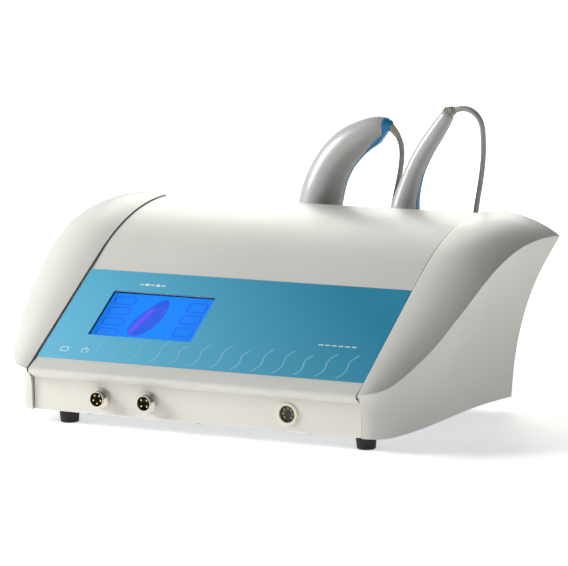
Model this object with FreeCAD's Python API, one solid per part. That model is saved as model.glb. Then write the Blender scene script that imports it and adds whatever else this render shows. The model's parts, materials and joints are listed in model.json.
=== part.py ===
import FreeCAD, Part
import math
import os
from FreeCAD import Vector

# Desk-top heat therapy console with two corded handpieces standing in a holder at its back.
# Millimetres, +Z up, X across the console, Y from the front to the back.
# Everything is drawn from the front face of the fascia (Y = 0) and the floor (Z = 0), on the
# console's middle plane (X = 0). Once all is made, it is moved along Y only, so that the origin
# lies under the middle of the box that holds everything but the cords.

os.makedirs("parts", exist_ok=True)

# ---------------------------------------------------------------- console, overall
hoodWidth = 354.0            # seam to seam
footHeight = 13.0            # floor to the underside of the base plate
fasciaTop = 45.3
noseY, noseZ = -11.3, 54.2   # front edge of the rounded nose
panelY, panelZ = 5.4, 64.5   # lower edge of the sloping panel
panelSlope = math.radians(32.8)
panelLength = 130.0          # lower to upper edge of the printed panel
slopeLength = 156.6          # straight part of the hood, a little longer than the panel
crownRadius = 248.0          # the roof's arc, tangent to the slope
rearFootY = 240.0            # back of the base
rearLean = math.atan(0.205)  # the back leans out towards the top
hoodLip = 14.0               # how far the hood turns down at the back
hoodOverhang = 5.0           # hood's lip outside the cheeks' back plane
wall = 3.0
sheet = 2.0
gap = 0.3                    # clearance between neighbouring pieces
fitGap = 0.05                # round pieces seated in each other

# ---------------------------------------------------------------- cheeks
gasketThickness = 1.6
cheekProud = 2.0             # cheeks stand this far above the hood
cheekInnerX = hoodWidth / 2 + gasketThickness
# plan outline at the foot (x, y), crease above it (x, y, z), and how late the side flares;
# each x is measured outwards from the cheek's inner face
cheekOutline = [
    ((0.0, -2.4), (0.0, -12.4, 55.2), 6.0),
    ((10.4, -2.2), (12.9, -8.8, 57.0), 5.0),
    ((19.4, 2.4), (22.2, 0.0, 60.0), 4.0),
    ((24.6, 12.0), (30.0, 12.0, 66.0), 3.2),
    ((29.0, 30.0), (38.8, 34.0, 77.0), 2.6),
    ((32.8, 60.0), (49.4, 60.0, 92.5), 2.3),
    ((34.4, 100.0), (59.4, 101.0, 119.0), 2.3),
    ((34.6, 145.0), (66.0, 146.0, 146.5), 2.4),
    ((37.0, 185.0), (70.9, 190.0, 164.5), 2.5),
    ((42.0, 213.0), (77.4, 228.0, 172.5), 2.6),
    ((48.0, rearFootY), (88.4, rearFootY + math.tan(rearLean) * 160.0, 173.0), 2.6),
]
cheekStations = [((cheekInnerX + foot, footY), (cheekInnerX + crease, y, z), late)
                 for (foot, footY), (crease, y, z), late in cheekOutline]
# how far the crease lies below the seam, and how much the shoulder bulges, along Y
shoulderDrop = [(-40.0, 0.2), (-12.0, 0.6), (0.0, 4.0), (35.0, 9.2), (100.0, 9.6),
                (146.0, 10.6), (190.0, 12.6), (228.0, 14.6), (273.0, 18.0), (310.0, 20.0)]
shoulderBulge = [(-40.0, 0.0), (0.0, 0.8), (100.0, 2.6), (190.0, 3.8), (310.0, 4.8)]

# ---------------------------------------------------------------- panel, display
overlayThickness = 0.6
screenWidth, screenHeight = 113.8, 65.0
screenX = -79.3              # middle of the screen across the panel
screenUp = 68.4              # middle of the screen up the slope
glassMargin = 2.0
glassThickness = 2.6
moduleWidth, moduleHeight, moduleDepth = 144.0, 104.0, 11.0

# ---------------------------------------------------------------- sockets in the fascia
socketZ = 30.0
pinSocketX = [-102.0, -50.0]
pinCounts = [5, 4]
socketRadius = 8.0           # M16 thread
socketProud = 10.0
socketBore = 6.8
socketFlange = socketRadius + 2.0
socketNutCorner = socketRadius + 3.0
contactCircle = 4.2
contactRadius = 0.9
dinX = 100.0
dinRadius, dinBore = 11.0, 8.2
dinCircle = 5.0

# ---------------------------------------------------------------- feet
footRadius = 10.0
footTaper = 0.9
feetX = [-148.0, 174.0]
feetY = [17.0, rearFootY - 25.0]

# ---------------------------------------------------------------- back panel
fanSize, fanDepth, fanUp, fanX = 60.0, 15.0, 82.0, -112.0
fanPitch = 50.0
inletX, inletUp = 118.0, 56.0
inletWidth, inletHeight, inletDepth = 48.0, 62.0, 32.0

# ---------------------------------------------------------------- holder rack and handpieces
holderY = rearFootY + 82.0
cupFloorZ, cupTopZ = 98.0, 140.0
cupWall = 3.0
ledgeHeight, ledgeWidth = 6.0, 6.0
shelfZ, shelfThickness = 128.0, 6.0
headFloorZ = cupFloorZ + cupWall + ledgeHeight
shellWall = 2.2
headRadiusA, headRadiusB = 30.0, 22.0
# centre line of each handpiece (x, z) with the half width there
handpieceA = [(-27.0, 122.0, headRadiusA - 1.0), (-27.0, 138.0, headRadiusA - 2.0), (-25.4, 160.0, 25.2),
              (-21.7, 181.5, 23.6), (-17.0, 199.0, 22.6), (-9.7, 216.8, 21.0),
              (1.2, 233.4, 19.7), (14.6, 246.4, 18.2), (28.6, 256.2, 16.0),
              (42.0, 263.4, 12.8), (52.0, 266.6, 9.4), (57.0, 266.8, 5.8)]
handpieceB = [(72.0, 122.0, headRadiusB - 1.0), (72.0, 138.0, headRadiusB - 2.4), (72.6, 160.0, 17.4),
              (74.4, 181.4, 15.4), (78.3, 199.0, 12.6), (86.0, 221.5, 10.4),
              (96.6, 241.6, 9.7), (109.0, 260.0, 8.9), (117.0, 271.6, 8.0),
              (122.0, 278.8, 7.0)]
depthShare = 0.92            # handpiece depth over width
headClearance = 3.0          # head to cup, all round

# ---------------------------------------------------------------- cords
cordNodes = ["large_cord", "slim_cord", "large_coil", "slim_coil", "plug_shells", "plug_cores"]
cordRadius = 2.8
coilRadius = 33.0            # middle of the turns
coilColumns, coilLayers = 2, 3
coilY = 337.0
coilXA, coilXB = -32.0, 95.0
stubZ = 9.0
stubLength = 28.0            # straight cord between a coil and what meets it
plugRadius, plugLength = 9.0, 36.0
cordRouteA = [(60.2, 322.6, 264.0), (64.0, 325.8, 258.0), (66.0, 329.4, 250.8), (65.9, 333.8, 242.0),
              (63.6, 338.6, 231.8), (59.8, 343.8, 220.2), (54.8, 349.4, 207.2), (48.8, 355.0, 192.6),
              (42.6, 360.4, 176.2), (37.0, 365.4, 157.4), (33.0, 369.6, 136.2), (30.8, 372.4, 113.6),
              (30.0, 373.8, 90.4), (30.0, 374.0, 67.5), (28.6, 373.2, 46.0), (24.6, 372.0, 28.5),
              (21.2, 371.2, 19.6), (14.5, 370.4, 12.7), (5.6, 370.0, 9.0), (-4.0, 370.0, 9.0)]
cordRouteB = [(129.0, 322.0, 284.6), (136.7, 322.0, 287.4), (144.9, 322.3, 286.9),
              (152.0, 323.2, 283.1), (156.8, 324.8, 276.6), (158.7, 327.3, 268.0),
              (157.9, 330.5, 257.2), (156.5, 334.5, 244.6), (153.5, 339.5, 230.2),
              (149.0, 345.2, 213.8), (143.2, 351.4, 195.8), (137.2, 357.7, 176.2),
              (132.6, 363.5, 155.2), (130.2, 368.2, 132.9), (130.8, 371.6, 109.5),
              (134.6, 373.6, 86.6), (140.6, 374.2, 65.2), (147.0, 373.5, 46.0), (150.0, 372.2, 28.5),
              (147.2, 371.2, 19.6), (140.6, 370.4, 12.7), (131.8, 370.0, 9.0), (123.0, 370.0, 9.0)]

# ---------------------------------------------------------------- derived sizes
panelRise = Vector(0, math.cos(panelSlope), math.sin(panelSlope))
panelOut = Vector(0, -math.sin(panelSlope), math.cos(panelSlope))
slopeTopY = panelY + slopeLength * math.cos(panelSlope)
slopeTopZ = panelZ + slopeLength * math.sin(panelSlope)
crownY = slopeTopY + crownRadius * math.sin(panelSlope)
crownZ = slopeTopZ - crownRadius * math.cos(panelSlope)
rearUp = Vector(0, math.sin(rearLean), math.cos(rearLean))
rearOut = Vector(0, math.cos(rearLean), -math.sin(rearLean))
panelFaceW = hoodOverhang - wall - gap      # outer face of the back panel, from the cheeks' plane
cupRadiusA = headRadiusA + headClearance
cupRadiusB = headRadiusB + headClearance
cupXA, cupXB = handpieceA[0][0], handpieceB[0][0]
rackBackY = holderY + cupRadiusA + cupWall
seamX = hoodWidth / 2
screwRadius = 1.5


# ---------------------------------------------------------------- helpers
made = {}


def save(name, *solids):
    made[name] = solids[0] if len(solids) == 1 else Part.makeCompound(list(solids))
    states = [solid.isValid() for solid in made[name].Solids]
    if not states or not all(states):
        print("CHECK", name, "solids", states)


def writeParts():
    box = FreeCAD.BoundBox()
    for name, shape in made.items():
        if name not in cordNodes:
            box.add(shape.optimalBoundingBox(False, False))
    middle = (box.YMin + box.YMax) / 2
    for name, shape in made.items():
        placed = shape.copy()
        placed.translate(Vector(0, -middle, 0))
        placed.exportStep(f"parts/{name}.step")
    print("nodes", len(made), "fascia front at Y", round(-middle, 4), "box without cords", box)


def block(x0, x1, y0, y1, z0, z1):
    return Part.makeBox(x1 - x0, y1 - y0, z1 - z0, Vector(x0, y0, z0))


def rod(radius, start, end):
    a, b = Vector(*start), Vector(*end)
    return Part.makeCylinder(radius, (b - a).Length, a, b - a)


def cone(radius0, radius1, start, end):
    a, b = Vector(*start), Vector(*end)
    return Part.makeCone(radius0, radius1, (b - a).Length, a, b - a)


def join(shapes):
    first, *rest = shapes
    return first.fuse(rest).removeSplitter() if rest else first


def cutAll(shape, tools):
    for tool in tools:
        shape = shape.cut(tool)
    return shape


def onPlane(shape, origin, across, up, out):
    """Place a shape drawn in (across, up, out) coordinates on a leaning plane."""
    matrix = FreeCAD.Matrix(across.x, up.x, out.x, origin.x, across.y, up.y, out.y, origin.y,
                            across.z, up.z, out.z, origin.z, 0, 0, 0, 1)
    placed = shape.copy()
    placed.Placement = FreeCAD.Placement(matrix).multiply(shape.Placement)
    return placed


def onPanel(shape):
    return onPlane(shape, Vector(0, panelY, panelZ), Vector(1, 0, 0), panelRise, panelOut)


def onBack(shape):
    # mirrored across so that across, up and out stay right-handed
    return onPlane(shape, Vector(0, rearFootY, footHeight), Vector(-1, 0, 0), rearUp, rearOut)


def mirrored(shape):
    return shape.mirror(Vector(0, 0, 0), Vector(1, 0, 0))


def between(table, value):
    """Smooth value through a short table of (place, value) points."""
    last = len(table) - 1
    k = 0
    while k < last - 1 and value > table[k + 1][0]:
        k += 1
    (x0, y0), (x1, y1) = table[k], table[k + 1]
    before = table[max(k - 1, 0)]
    after = table[min(k + 2, last)]
    slope0 = (y1 - before[1]) / (x1 - before[0])
    slope1 = (after[1] - y0) / (after[0] - x0)
    span = x1 - x0
    t = min(max((value - x0) / span, 0.0), 1.0)
    return ((2 * t**3 - 3 * t**2 + 1) * y0 + (t**3 - 2 * t**2 + t) * span * slope0
            + (3 * t**2 - 2 * t**3) * y1 + (t**3 - t**2) * span * slope1)


def roundedPlate(width, height, depth, radius, out0=0.0):
    """Plate centred across and up, from out0 to out0 + depth."""
    plate = Part.makeBox(width, height, depth, Vector(-width / 2, -height / 2, out0))
    uprights = [e for e in plate.Edges if abs(e.Vertexes[0].Z - e.Vertexes[-1].Z) > depth / 2]
    return plate.makeFillet(radius, uprights)


def shifted(shape, x=0.0, y=0.0, z=0.0):
    moved = shape.copy()
    moved.translate(Vector(x, y, z))
    return moved


# ---------------------------------------------------------------- hood and fascia
def hoodOutline(out):
    """The hood's profile in the YZ plane, moved outwards by out, as an open wire."""
    def point(y, z):
        return Vector(0, y, z)

    slopeStart = point(panelY, panelZ) + panelOut * out
    slopeEnd = point(slopeTopY, slopeTopZ) + panelOut * out
    centre = point(crownY, crownZ)
    radius = crownRadius + out
    backLine = point(rearFootY, footHeight) + rearOut * (hoodOverhang + out)

    def onArc(angle):
        return centre + Vector(0, -math.sin(angle), math.cos(angle)) * radius

    def overBack(angle):
        offset = onArc(angle) - backLine
        return offset.dot(rearOut)

    low, high = math.radians(-35.0), math.radians(35.0)
    for _ in range(60):
        middle = (low + high) / 2
        if overBack(middle) > 0:
            low = middle
        else:
            high = middle
    corner = onArc(low)
    cornerRadius = 5.0 + out
    turn = cornerRadius / crownRadius * 1.1
    roofEnd = onArc(low + turn)
    backStart = corner - rearUp * cornerRadius * 1.1
    bend = (roofEnd + backStart) * 0.5 + (corner - (roofEnd + backStart) * 0.5) * 0.414
    backEnd = backLine + rearUp * ((corner - backLine).dot(rearUp) - hoodLip)
    nose = point(noseY - out * 0.9, noseZ + out * 0.1)
    return Part.Wire([
        Part.LineSegment(point(-1.0 - out * 0.8, fasciaTop + 0.2 - out * 0.3),
                         point(-8.6 - out * 0.8, fasciaTop + 5.4 - out * 0.6)).toShape(),
        Part.Arc(point(-8.6 - out * 0.8, fasciaTop + 5.4 - out * 0.6), nose,
                 point(-8.8 - out * 0.6, 56.9 + out * 0.75)).toShape(),
        Part.LineSegment(point(-8.8 - out * 0.6, 56.9 + out * 0.75), slopeStart).toShape(),
        Part.LineSegment(slopeStart, slopeEnd).toShape(),
        Part.Arc(slopeEnd, onArc((panelSlope + low) / 2), roofEnd).toShape(),
        Part.Arc(roofEnd, bend, backStart).toShape(),
        Part.LineSegment(backStart, backEnd).toShape(),
    ])


def hoodStrip(thickness):
    """The hood's cut face: the outline thickened inwards."""
    outer, inner = hoodOutline(0.0), hoodOutline(-thickness)
    a0, a1 = outer.OrderedVertexes[0].Point, outer.OrderedVertexes[-1].Point
    b0, b1 = inner.OrderedVertexes[0].Point, inner.OrderedVertexes[-1].Point
    edges = outer.Edges + [Part.makeLine(a1, b1)] + inner.Edges + [Part.makeLine(b0, a0)]
    return Part.Face(Part.Wire(Part.__sortEdges__(edges)))


def prism(face, x0, x1):
    solid = face.extrude(Vector(x1 - x0, 0, 0))
    solid.translate(Vector(x0, 0, 0))
    return solid


hoodBosses = [(24.0, 66.5), (96.0, 113.0), (180.0, 163.5), (262.0, 181.0)]
bossRadius, bossLength = 4.5, 16.0


def makeHood():
    shell = prism(hoodStrip(wall), -seamX, seamX)
    inside = prism(Part.Face(Part.Wire(list(hoodOutline(-0.5).Edges)
                   + [Part.makeLine(hoodOutline(-0.5).OrderedVertexes[-1].Point,
                                    hoodOutline(-0.5).OrderedVertexes[0].Point)])), -seamX, seamX)
    bosses = []
    for y, z in hoodBosses:
        for side in (-1, 1):
            boss = rod(bossRadius, (side * (seamX - bossLength), y, z), (side * seamX, y, z))
            bosses.append(boss.common(inside))
    hood = join([shell] + bosses)
    window = roundedPlate(screenWidth + 2 * (glassMargin + gap), screenHeight + 2 * (glassMargin + gap),
                          3 * wall, 1.5, -2 * wall)
    hood = hood.cut(onPanel(shifted(window, screenX, screenUp)))
    for y, z in hoodBosses:
        for side in (-1, 1):
            hood = hood.cut(rod(screwRadius - 0.2, (side * (seamX - bossLength + 3), y, z),
                                (side * (seamX + 1), y, z)))
    return cutAll(hood, [onBack(rod(screwRadius + 0.1, (x, lipScrewUp, -2), (x, lipScrewUp, 12)))
                         for x in lipScrewX])


lipScrewX = [-150.0, 0.0, 150.0]
panelTopUp = 166.0
lipScrewUp = panelTopUp - 3.0
baseScrewX = [-168.0, -60.0, 60.0, 168.0]
baseScrewUp = 10.0


def makeFascia():
    strip = block(-seamX, seamX, 0, wall, footHeight, fasciaTop)
    strip = strip.makeFillet(1.4, [e for e in strip.Edges
                                   if abs(e.CenterOfMass.y) < 0.01
                                   and abs(e.CenterOfMass.z - footHeight) < 0.01])
    foot = block(-seamX + 10, seamX - 10, wall, 14.0, footHeight + sheet, footHeight + 2 * sheet)
    strip = join([strip, foot])
    for x in pinSocketX:
        strip = strip.cut(rod(socketRadius + 0.15, (x, -1, socketZ), (x, wall + 1, socketZ)))
    strip = strip.cut(rod(dinRadius - 1.6, (dinX, -1, socketZ), (dinX, wall + 1, socketZ)))
    return cutAll(strip, [rod(screwRadius - 0.2, (x, 9, footHeight), (x, 9, footHeight + 6))
                          for x in frontScrewX])


frontScrewX = [-120.0, 0.0, 120.0]


# ---------------------------------------------------------------- cheeks
def seamHeight(y, proud):
    """Height of the hood's top line at y, raised square to itself by proud."""
    top = Vector(0, slopeTopY, slopeTopZ) + panelOut * proud
    if y < top.y:
        return top.z - (top.y - y) * math.tan(panelSlope)
    radius = crownRadius + proud
    return crownZ + math.sqrt(radius**2 - (crownY - y)**2)


def cheekPoints(z, inset):
    points = []
    for (footX, footY), (creaseX, creaseY, creaseZ), flare in cheekStations:
        rise = (z - footHeight) / (creaseZ - footHeight)
        if rise <= 1.0:
            share = max(rise, 0.0) ** flare
        else:
            share = 1.0 + 0.35 * (1.0 - math.exp((1.0 - rise) * flare / 0.35))
        along = min(rise, 1.0) if flare < 3.0 else share    # the front stations face forwards
        points.append(Vector(footX + (creaseX - footX) * share, footY + (creaseY - footY) * along, z))
    rearY = rearFootY + math.tan(rearLean) * (z - footHeight)
    points[-1].y = rearY
    moved = []
    for k, point in enumerate(points):
        ahead = points[min(k + 1, len(points) - 1)]
        behind = points[max(k - 1, 0)]
        along = ahead - behind
        along.z = 0
        along.normalize()
        moved.append(point + Vector(-along.y, along.x, 0) * inset)
    moved[0].x = cheekInnerX + inset
    moved[-1].y = rearY - inset
    return moved


def smoothFace(rows):
    """A cubic surface drawn towards a grid of points, through its corners."""
    def spacing(count):
        return [4] + [1] * (count - 4) + [4], list(range(count - 2))

    (acrossRepeats, across), (alongRepeats, along) = spacing(len(rows)), spacing(len(rows[0]))
    surface = Part.BSplineSurface()
    surface.buildFromPolesMultsKnots(rows, acrossRepeats, alongRepeats, across, along, False, False, 3, 3)
    return surface.toShape()


def cheekWire(z, inset):
    points = cheekPoints(z, inset)
    repeats, knots = [4] + [1] * (len(points) - 4) + [4], list(range(len(points) - 2))
    side = Part.BSplineCurve()
    side.buildFromPolesMultsKnots(points, repeats, knots, False, 3)
    corner = Vector(points[0].x, points[-1].y, z)
    return Part.Wire([side.toShape(), Part.makeLine(points[-1], corner), Part.makeLine(corner, points[0])])


def cheekColumn(inset, low):
    """The cheek's outer wall from the foot to above the shoulder, closed by flat faces."""
    levels = [low] + cheekLevels[1:]
    side = smoothFace([cheekPoints(z, inset) for z in levels])
    bottom, top = cheekPoints(levels[0], inset), cheekPoints(levels[-1], inset)

    def corner(points):
        return Vector(points[0].x, points[-1].y, points[0].z)

    def edgeBetween(a, b):
        for edge in side.Edges:
            ends = [v.Point for v in edge.Vertexes]
            if min(max(ends[0].distanceToPoint(a), ends[1].distanceToPoint(b)),
                   max(ends[0].distanceToPoint(b), ends[1].distanceToPoint(a))) < 1e-4:
                return edge

    def flat(edge, *corners):
        lines = [Part.makeLine(a, b) for a, b in zip(corners, corners[1:])]
        return Part.Face(Part.Wire(Part.__sortEdges__([edge] + lines)))

    faces = [side,
             flat(edgeBetween(bottom[0], bottom[-1]), bottom[0], corner(bottom), bottom[-1]),
             flat(edgeBetween(top[0], top[-1]), top[0], corner(top), top[-1]),
             flat(edgeBetween(bottom[0], top[0]), bottom[0], corner(bottom), corner(top), top[0]),
             flat(edgeBetween(bottom[-1], top[-1]), bottom[-1], corner(bottom), corner(top), top[-1])]
    shell = Part.makeShell(faces)
    shell.sewShape()
    solid = Part.makeSolid(shell)
    if solid.Volume < 0:
        solid.reverse()
    return solid


def shoulderFace(inset):
    """The cheek's top face, stretched past the crease on every side."""
    creaseLine = [(c[1], c[0]) for _, c, _ in cheekStations[1:]]
    rows = []
    for y in (-40, -26, -12, 0, 14, 35, 60, 85, 110, 135, 160, 185, 210, 235, 260, 285, 310):
        width = max(between(creaseLine, y) - cheekInnerX, 13.4)
        top = seamHeight(y, cheekProud) - inset * 1.15
        row = []
        for share in (-0.2, 0.0, 0.25, 0.5, 0.75, 1.0, 1.25):
            height = (top - between(shoulderDrop, y) * share * abs(share)
                      + between(shoulderBulge, y) * 4 * share * (1 - share))
            row.append(Vector(cheekInnerX + width * share, y, height))
        rows.append(row)
    return smoothFace(rows)


cheekLevels = [footHeight, 24.0, 34.0, 42.0, 48.0, 53.0, 58.0, 66.0, 78.0, 94.0, 112.0, 132.0,
               152.0, 172.0, 196.0]


def cheekVolume(inset, low):
    under = shoulderFace(inset).extrude(Vector(0, 0, -400))
    return cheekColumn(inset, low).common(under)


cheekBossY = [60.0, 195.0]


def makeCheek():
    outer = cheekVolume(0.0, footHeight)
    inner = cheekVolume(wall, footHeight - 3.0)
    cheek = outer.cut(inner)
    bosses = [block(cheekInnerX, cheekInnerX + 14, y - 7, y + 7, footHeight + sheet, footHeight + 24)
              for y in cheekBossY]
    cheek = join([cheek] + bosses)
    cheek = cheek.cut(block(cheekInnerX - 1, cheekInnerX + wall + 1, 92, 168, footHeight + 20, 96))
    cheek = cheek.cut(block(cheekInnerX - 1, cheekInnerX + wall + 0.2, wall, rearFootY - 1,
                            footHeight - 1, footHeight + sheet))
    for y in cheekBossY:
        cheek = cheek.cut(rod(screwRadius - 0.2, (cheekInnerX + 7.5, y, footHeight),
                              (cheekInnerX + 7.5, y, footHeight + 18)))
    for y, z in hoodBosses:
        cheek = cheek.cut(rod(screwRadius + 0.1, (cheekInnerX - 1, y, z), (cheekInnerX + wall + 1, y, z)))
    return cheek


def makeBasePlate():
    plate = block(-cheekInnerX - wall - 2, cheekInnerX + wall + 2, wall, rearFootY - 3, footHeight,
                  footHeight + sheet)
    wing = Part.Face(cheekWire(footHeight, wall + gap)).extrude(Vector(0, 0, sheet))
    wing = wing.common(block(cheekInnerX, cheekInnerX + 120, wall, rearFootY - 3, 0, 100))
    flange = onBack(Part.makeBox(2 * (seamX - 3), 18.0, sheet,
                                 Vector(-(seamX - 3), sheet * 0.5, panelFaceW - 2 * sheet)))
    plate = join([plate, wing, mirrored(wing), flange])
    holes = [rod(screwRadius + 0.1, (side * (cheekInnerX + 7.5), y, 0), (side * (cheekInnerX + 7.5), y, 20))
             for side in (-1, 1) for y in cheekBossY]
    holes += [rod(screwRadius + 0.1, (x, 9, 0), (x, 9, 20)) for x in frontScrewX]
    holes += [rod(2.1, (x, y, 0), (x, y, 20)) for x in feetX for y in feetY]
    holes += [rod(screwRadius + 0.1, (x, y, 0), (x, y, 20)) for x, y in standoffPlaces]
    holes += [onBack(rod(screwRadius - 0.2, (x, baseScrewUp, -6), (x, baseScrewUp, 4))) for x in baseScrewX]
    slots = [block(x - 1.5, x + 1.5, 70, 110, 0, 20) for x in range(-60, 61, 12)]
    return cutAll(plate, holes + slots)


# ---------------------------------------------------------------- boards
mainBoard = (-30.0, 100.0, 40.0, 150.0)     # x0, x1, y0, y1
driveBoard = (30.0, 150.0, 158.0, 228.0)
standoffHeight = 8.0
boardThickness = 1.6
boardZ = footHeight + sheet + standoffHeight
standoffInset = 6.0
standoffPlaces = [(x, y) for x0, x1, y0, y1 in (mainBoard, driveBoard)
                  for x in (x0 + standoffInset, x1 - standoffInset)
                  for y in (y0 + standoffInset, y1 - standoffInset)]


def makeBoard(area, tallParts):
    x0, x1, y0, y1 = area
    top = boardZ + boardThickness
    board = block(x0, x1, y0, y1, boardZ, top)
    board = join([board] + [block(x0 + a, x0 + b, y0 + c, y0 + d, top - 0.1, top + h)
                            for a, b, c, d, h in tallParts])
    return cutAll(board, [rod(screwRadius + 0.1, (x, y, boardZ - 1), (x, y, top + 1))
                          for x, y in standoffPlaces if x0 < x < x1 and y0 < y < y1])


def makeElectronics():
    save("main_board", makeBoard(mainBoard, [
        (20, 50, 30, 60, 2.4), (60, 74, 24, 50, 3.4), (60, 84, 70, 78, 9),
        (96, 112, 20, 92, 9), (24, 32, 80, 88, 12), (38, 46, 80, 88, 12)]))
    save("drive_board", makeBoard(driveBoard, [
        (84, 100, 14, 30, 22), (84, 100, 38, 54, 22), (10, 24, 20, 50, 6)]))
    finBase = boardZ + boardThickness
    x0, x1 = driveBoard[0] + 32, driveBoard[0] + 76
    y0, y1 = driveBoard[2] + 12, driveBoard[3] - 12
    fins = [block(x0, x1, y0, y1, finBase, finBase + 5)]
    fins += [block(x0 + k * 6, x0 + k * 6 + 2, y0, y1, finBase + 4, finBase + 26) for k in range(8)]
    save("heatsink", join([fin for fin in fins]))
    posts = []
    screws = []
    for x, y in standoffPlaces:
        post = Part.makeCylinder(3.2, standoffHeight, Vector(x, y, footHeight + sheet))
        posts.append(post.cut(rod(screwRadius - 0.2, (x, y, 0), (x, y, 40))))
        screws.append(join([rod(screwRadius - 0.25, (x, y, footHeight + 1), (x, y, finBase + 0.5)),
                            rod(3.0, (x, y, finBase), (x, y, finBase + 2.2))]))
    save("standoffs", *posts)
    save("board_screws", *screws)
    # toroidal mains transformer with its clamping dish and bolt
    cx, cy, z0 = -104.0, 170.0, footHeight + sheet
    ring = rod(46, (cx, cy, z0), (cx, cy, z0 + 38)).cut(rod(16, (cx, cy, z0 - 1), (cx, cy, z0 + 39)))
    rims = [e for e in ring.Edges if abs(e.Length - 2 * math.pi * 46) < 1]
    save("transformer", ring.makeFillet(8, rims))
    dish = cone(22, 30, (cx, cy, z0 + 38), (cx, cy, z0 + 42)).cut(rod(2.6, (cx, cy, z0), (cx, cy, 90)))
    save("transformer_clamp", dish)
    save("transformer_bolt", join([rod(2.5, (cx, cy, z0), (cx, cy, z0 + 46)),
                                   rod(5.5, (cx, cy, z0 + 42), (cx, cy, z0 + 46))]))
    # boxed power supply
    px, py = -160.0, 36.0
    case = block(px, px + 98, py, py + 74, z0, z0 + 32)
    case = case.makeFillet(1.5, [e for e in case.Edges if abs(e.Vertexes[0].Z - e.Vertexes[-1].Z) > 5])
    slots = [block(px + 12 + k * 9, px + 16 + k * 9, py + 14, py + 60, z0 + 31, z0 + 33) for k in range(9)]
    save("power_supply", cutAll(case, slots))


# ---------------------------------------------------------------- panel and display
def makeDisplay():
    sheetPlate = Part.makeBox(hoodWidth - 0.4, panelLength, overlayThickness,
                              Vector(-seamX + 0.2, 0, 0))
    window = roundedPlate(screenWidth, screenHeight, 4, 1.0, -1)
    save("overlay", onPanel(sheetPlate.cut(shifted(window, screenX, screenUp))))
    glass = roundedPlate(screenWidth + 2 * glassMargin, screenHeight + 2 * glassMargin,
                         glassThickness, 1.2, -glassThickness)
    save("touch_glass", onPanel(shifted(glass, screenX, screenUp)))
    frameOut = -wall - gap
    frame = roundedPlate(moduleWidth, moduleHeight, moduleDepth, 1.5, frameOut - moduleDepth)
    lit = roundedPlate(screenWidth + 2, screenHeight + 2, 1.2, 1.0, frameOut - 1.2)
    save("display_frame", onPanel(shifted(frame.cut(shifted(lit, 0, 0, 0.01)), screenX, screenUp)))
    pane = roundedPlate(screenWidth + 1.4, screenHeight + 1.4, 1.1, 0.8, frameOut - 1.1)
    save("display_pane", onPanel(shifted(pane, screenX, screenUp)))
    board = roundedPlate(moduleWidth, moduleHeight, boardThickness, 1.0,
                         frameOut - moduleDepth - boardThickness)
    lugs = []
    for x in (-moduleWidth / 2 + 4, moduleWidth / 2 - 4):
        for y in (-moduleHeight / 2 + 4, moduleHeight / 2 - 4):
            lugs.append(rod(1.4, (x, y, frameOut - moduleDepth - boardThickness - 0.1),
                            (x, y, frameOut - moduleDepth - boardThickness - 4)))
    save("display_board", onPanel(shifted(join([board] + lugs), screenX, screenUp)))


# ---------------------------------------------------------------- sockets in the fascia
def makeSockets():
    shells, inserts, pins, nuts = [], [], [], []
    for x, count in zip(pinSocketX, pinCounts):
        shell = join([rod(socketRadius, (x, -socketProud, socketZ), (x, 14, socketZ)),
                      rod(socketFlange, (x, -2.4, socketZ), (x, 0, socketZ))])
        shell = shell.cut(rod(socketBore, (x, -socketProud - 1, socketZ), (x, 15, socketZ)))
        shells.append(shell)
        insert = rod(socketBore - fitGap, (x, -1.0, socketZ), (x, 13, socketZ))
        for k in range(count):
            angle = 2 * math.pi * (k + 0.5) / count
            cx, cz = x + contactCircle * math.sin(angle), socketZ + contactCircle * math.cos(angle)
            pins.append(rod(contactRadius, (cx, -socketProud + 1.4, cz), (cx, 17, cz)))
            insert = insert.cut(rod(contactRadius, (cx, -9, cz), (cx, 20, cz)))
        inserts.append(insert)
        hexagon = Part.makePolygon([Vector(x + socketNutCorner * math.cos(math.pi * k / 3), wall,
                                           socketZ + socketNutCorner * math.sin(math.pi * k / 3))
                                    for k in range(7)])
        nut = Part.Face(hexagon).extrude(Vector(0, 3, 0))
        nuts.append(nut.cut(rod(socketRadius, (x, 0, socketZ), (x, 10, socketZ))))
    save("socket_shells", *shells)
    save("socket_inserts", *inserts)
    save("socket_nuts", *nuts)
    ring = join([rod(dinRadius, (dinX, -1.6, socketZ), (dinX, 0, socketZ)),
                 rod(dinRadius - 1.7, (dinX, -0.1, socketZ), (dinX, 10, socketZ))])
    ring = ring.makeFillet(0.7, [e for e in ring.Edges if abs(e.CenterOfMass.y + 1.6) < 0.01])
    save("round_socket_ring", ring.cut(rod(dinBore, (dinX, -2, socketZ), (dinX, 11, socketZ))))
    core = rod(dinBore - fitGap, (dinX, 0.6, socketZ), (dinX, 12, socketZ))
    core = core.cut(block(dinX - 1.2, dinX + 1.2, -1, 3.0, socketZ - dinBore - 1, socketZ - dinBore + 1.6))
    contacts = []
    for k in range(7):
        angle = math.radians(-135 + 45 * k)
        cx, cz = dinX + dinCircle * math.sin(angle), socketZ + dinCircle * math.cos(angle)
        core = core.cut(rod(1.1, (cx, 0, cz), (cx, 13, cz)))
        tube = rod(1.1, (cx, 0.9, cz), (cx, 15, cz)).cut(rod(0.7, (cx, 0, cz), (cx, 6, cz)))
        contacts.append(tube)
    save("round_socket_core", core)
    save("contact_pins", *pins, *contacts)


# ---------------------------------------------------------------- feet
def makeFeet():
    feet = []
    for x in feetX:
        for y in feetY:
            foot = Part.makeCone(footRadius * footTaper, footRadius, footHeight, Vector(x, y, 0))
            foot = foot.cut(rod(4.2, (x, y, -1), (x, y, 6))).cut(rod(2.0, (x, y, 0), (x, y, 20)))
            feet.append(foot)
    save("feet", *feet)


# ---------------------------------------------------------------- back panel
def backX(x):
    return -x


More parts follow.
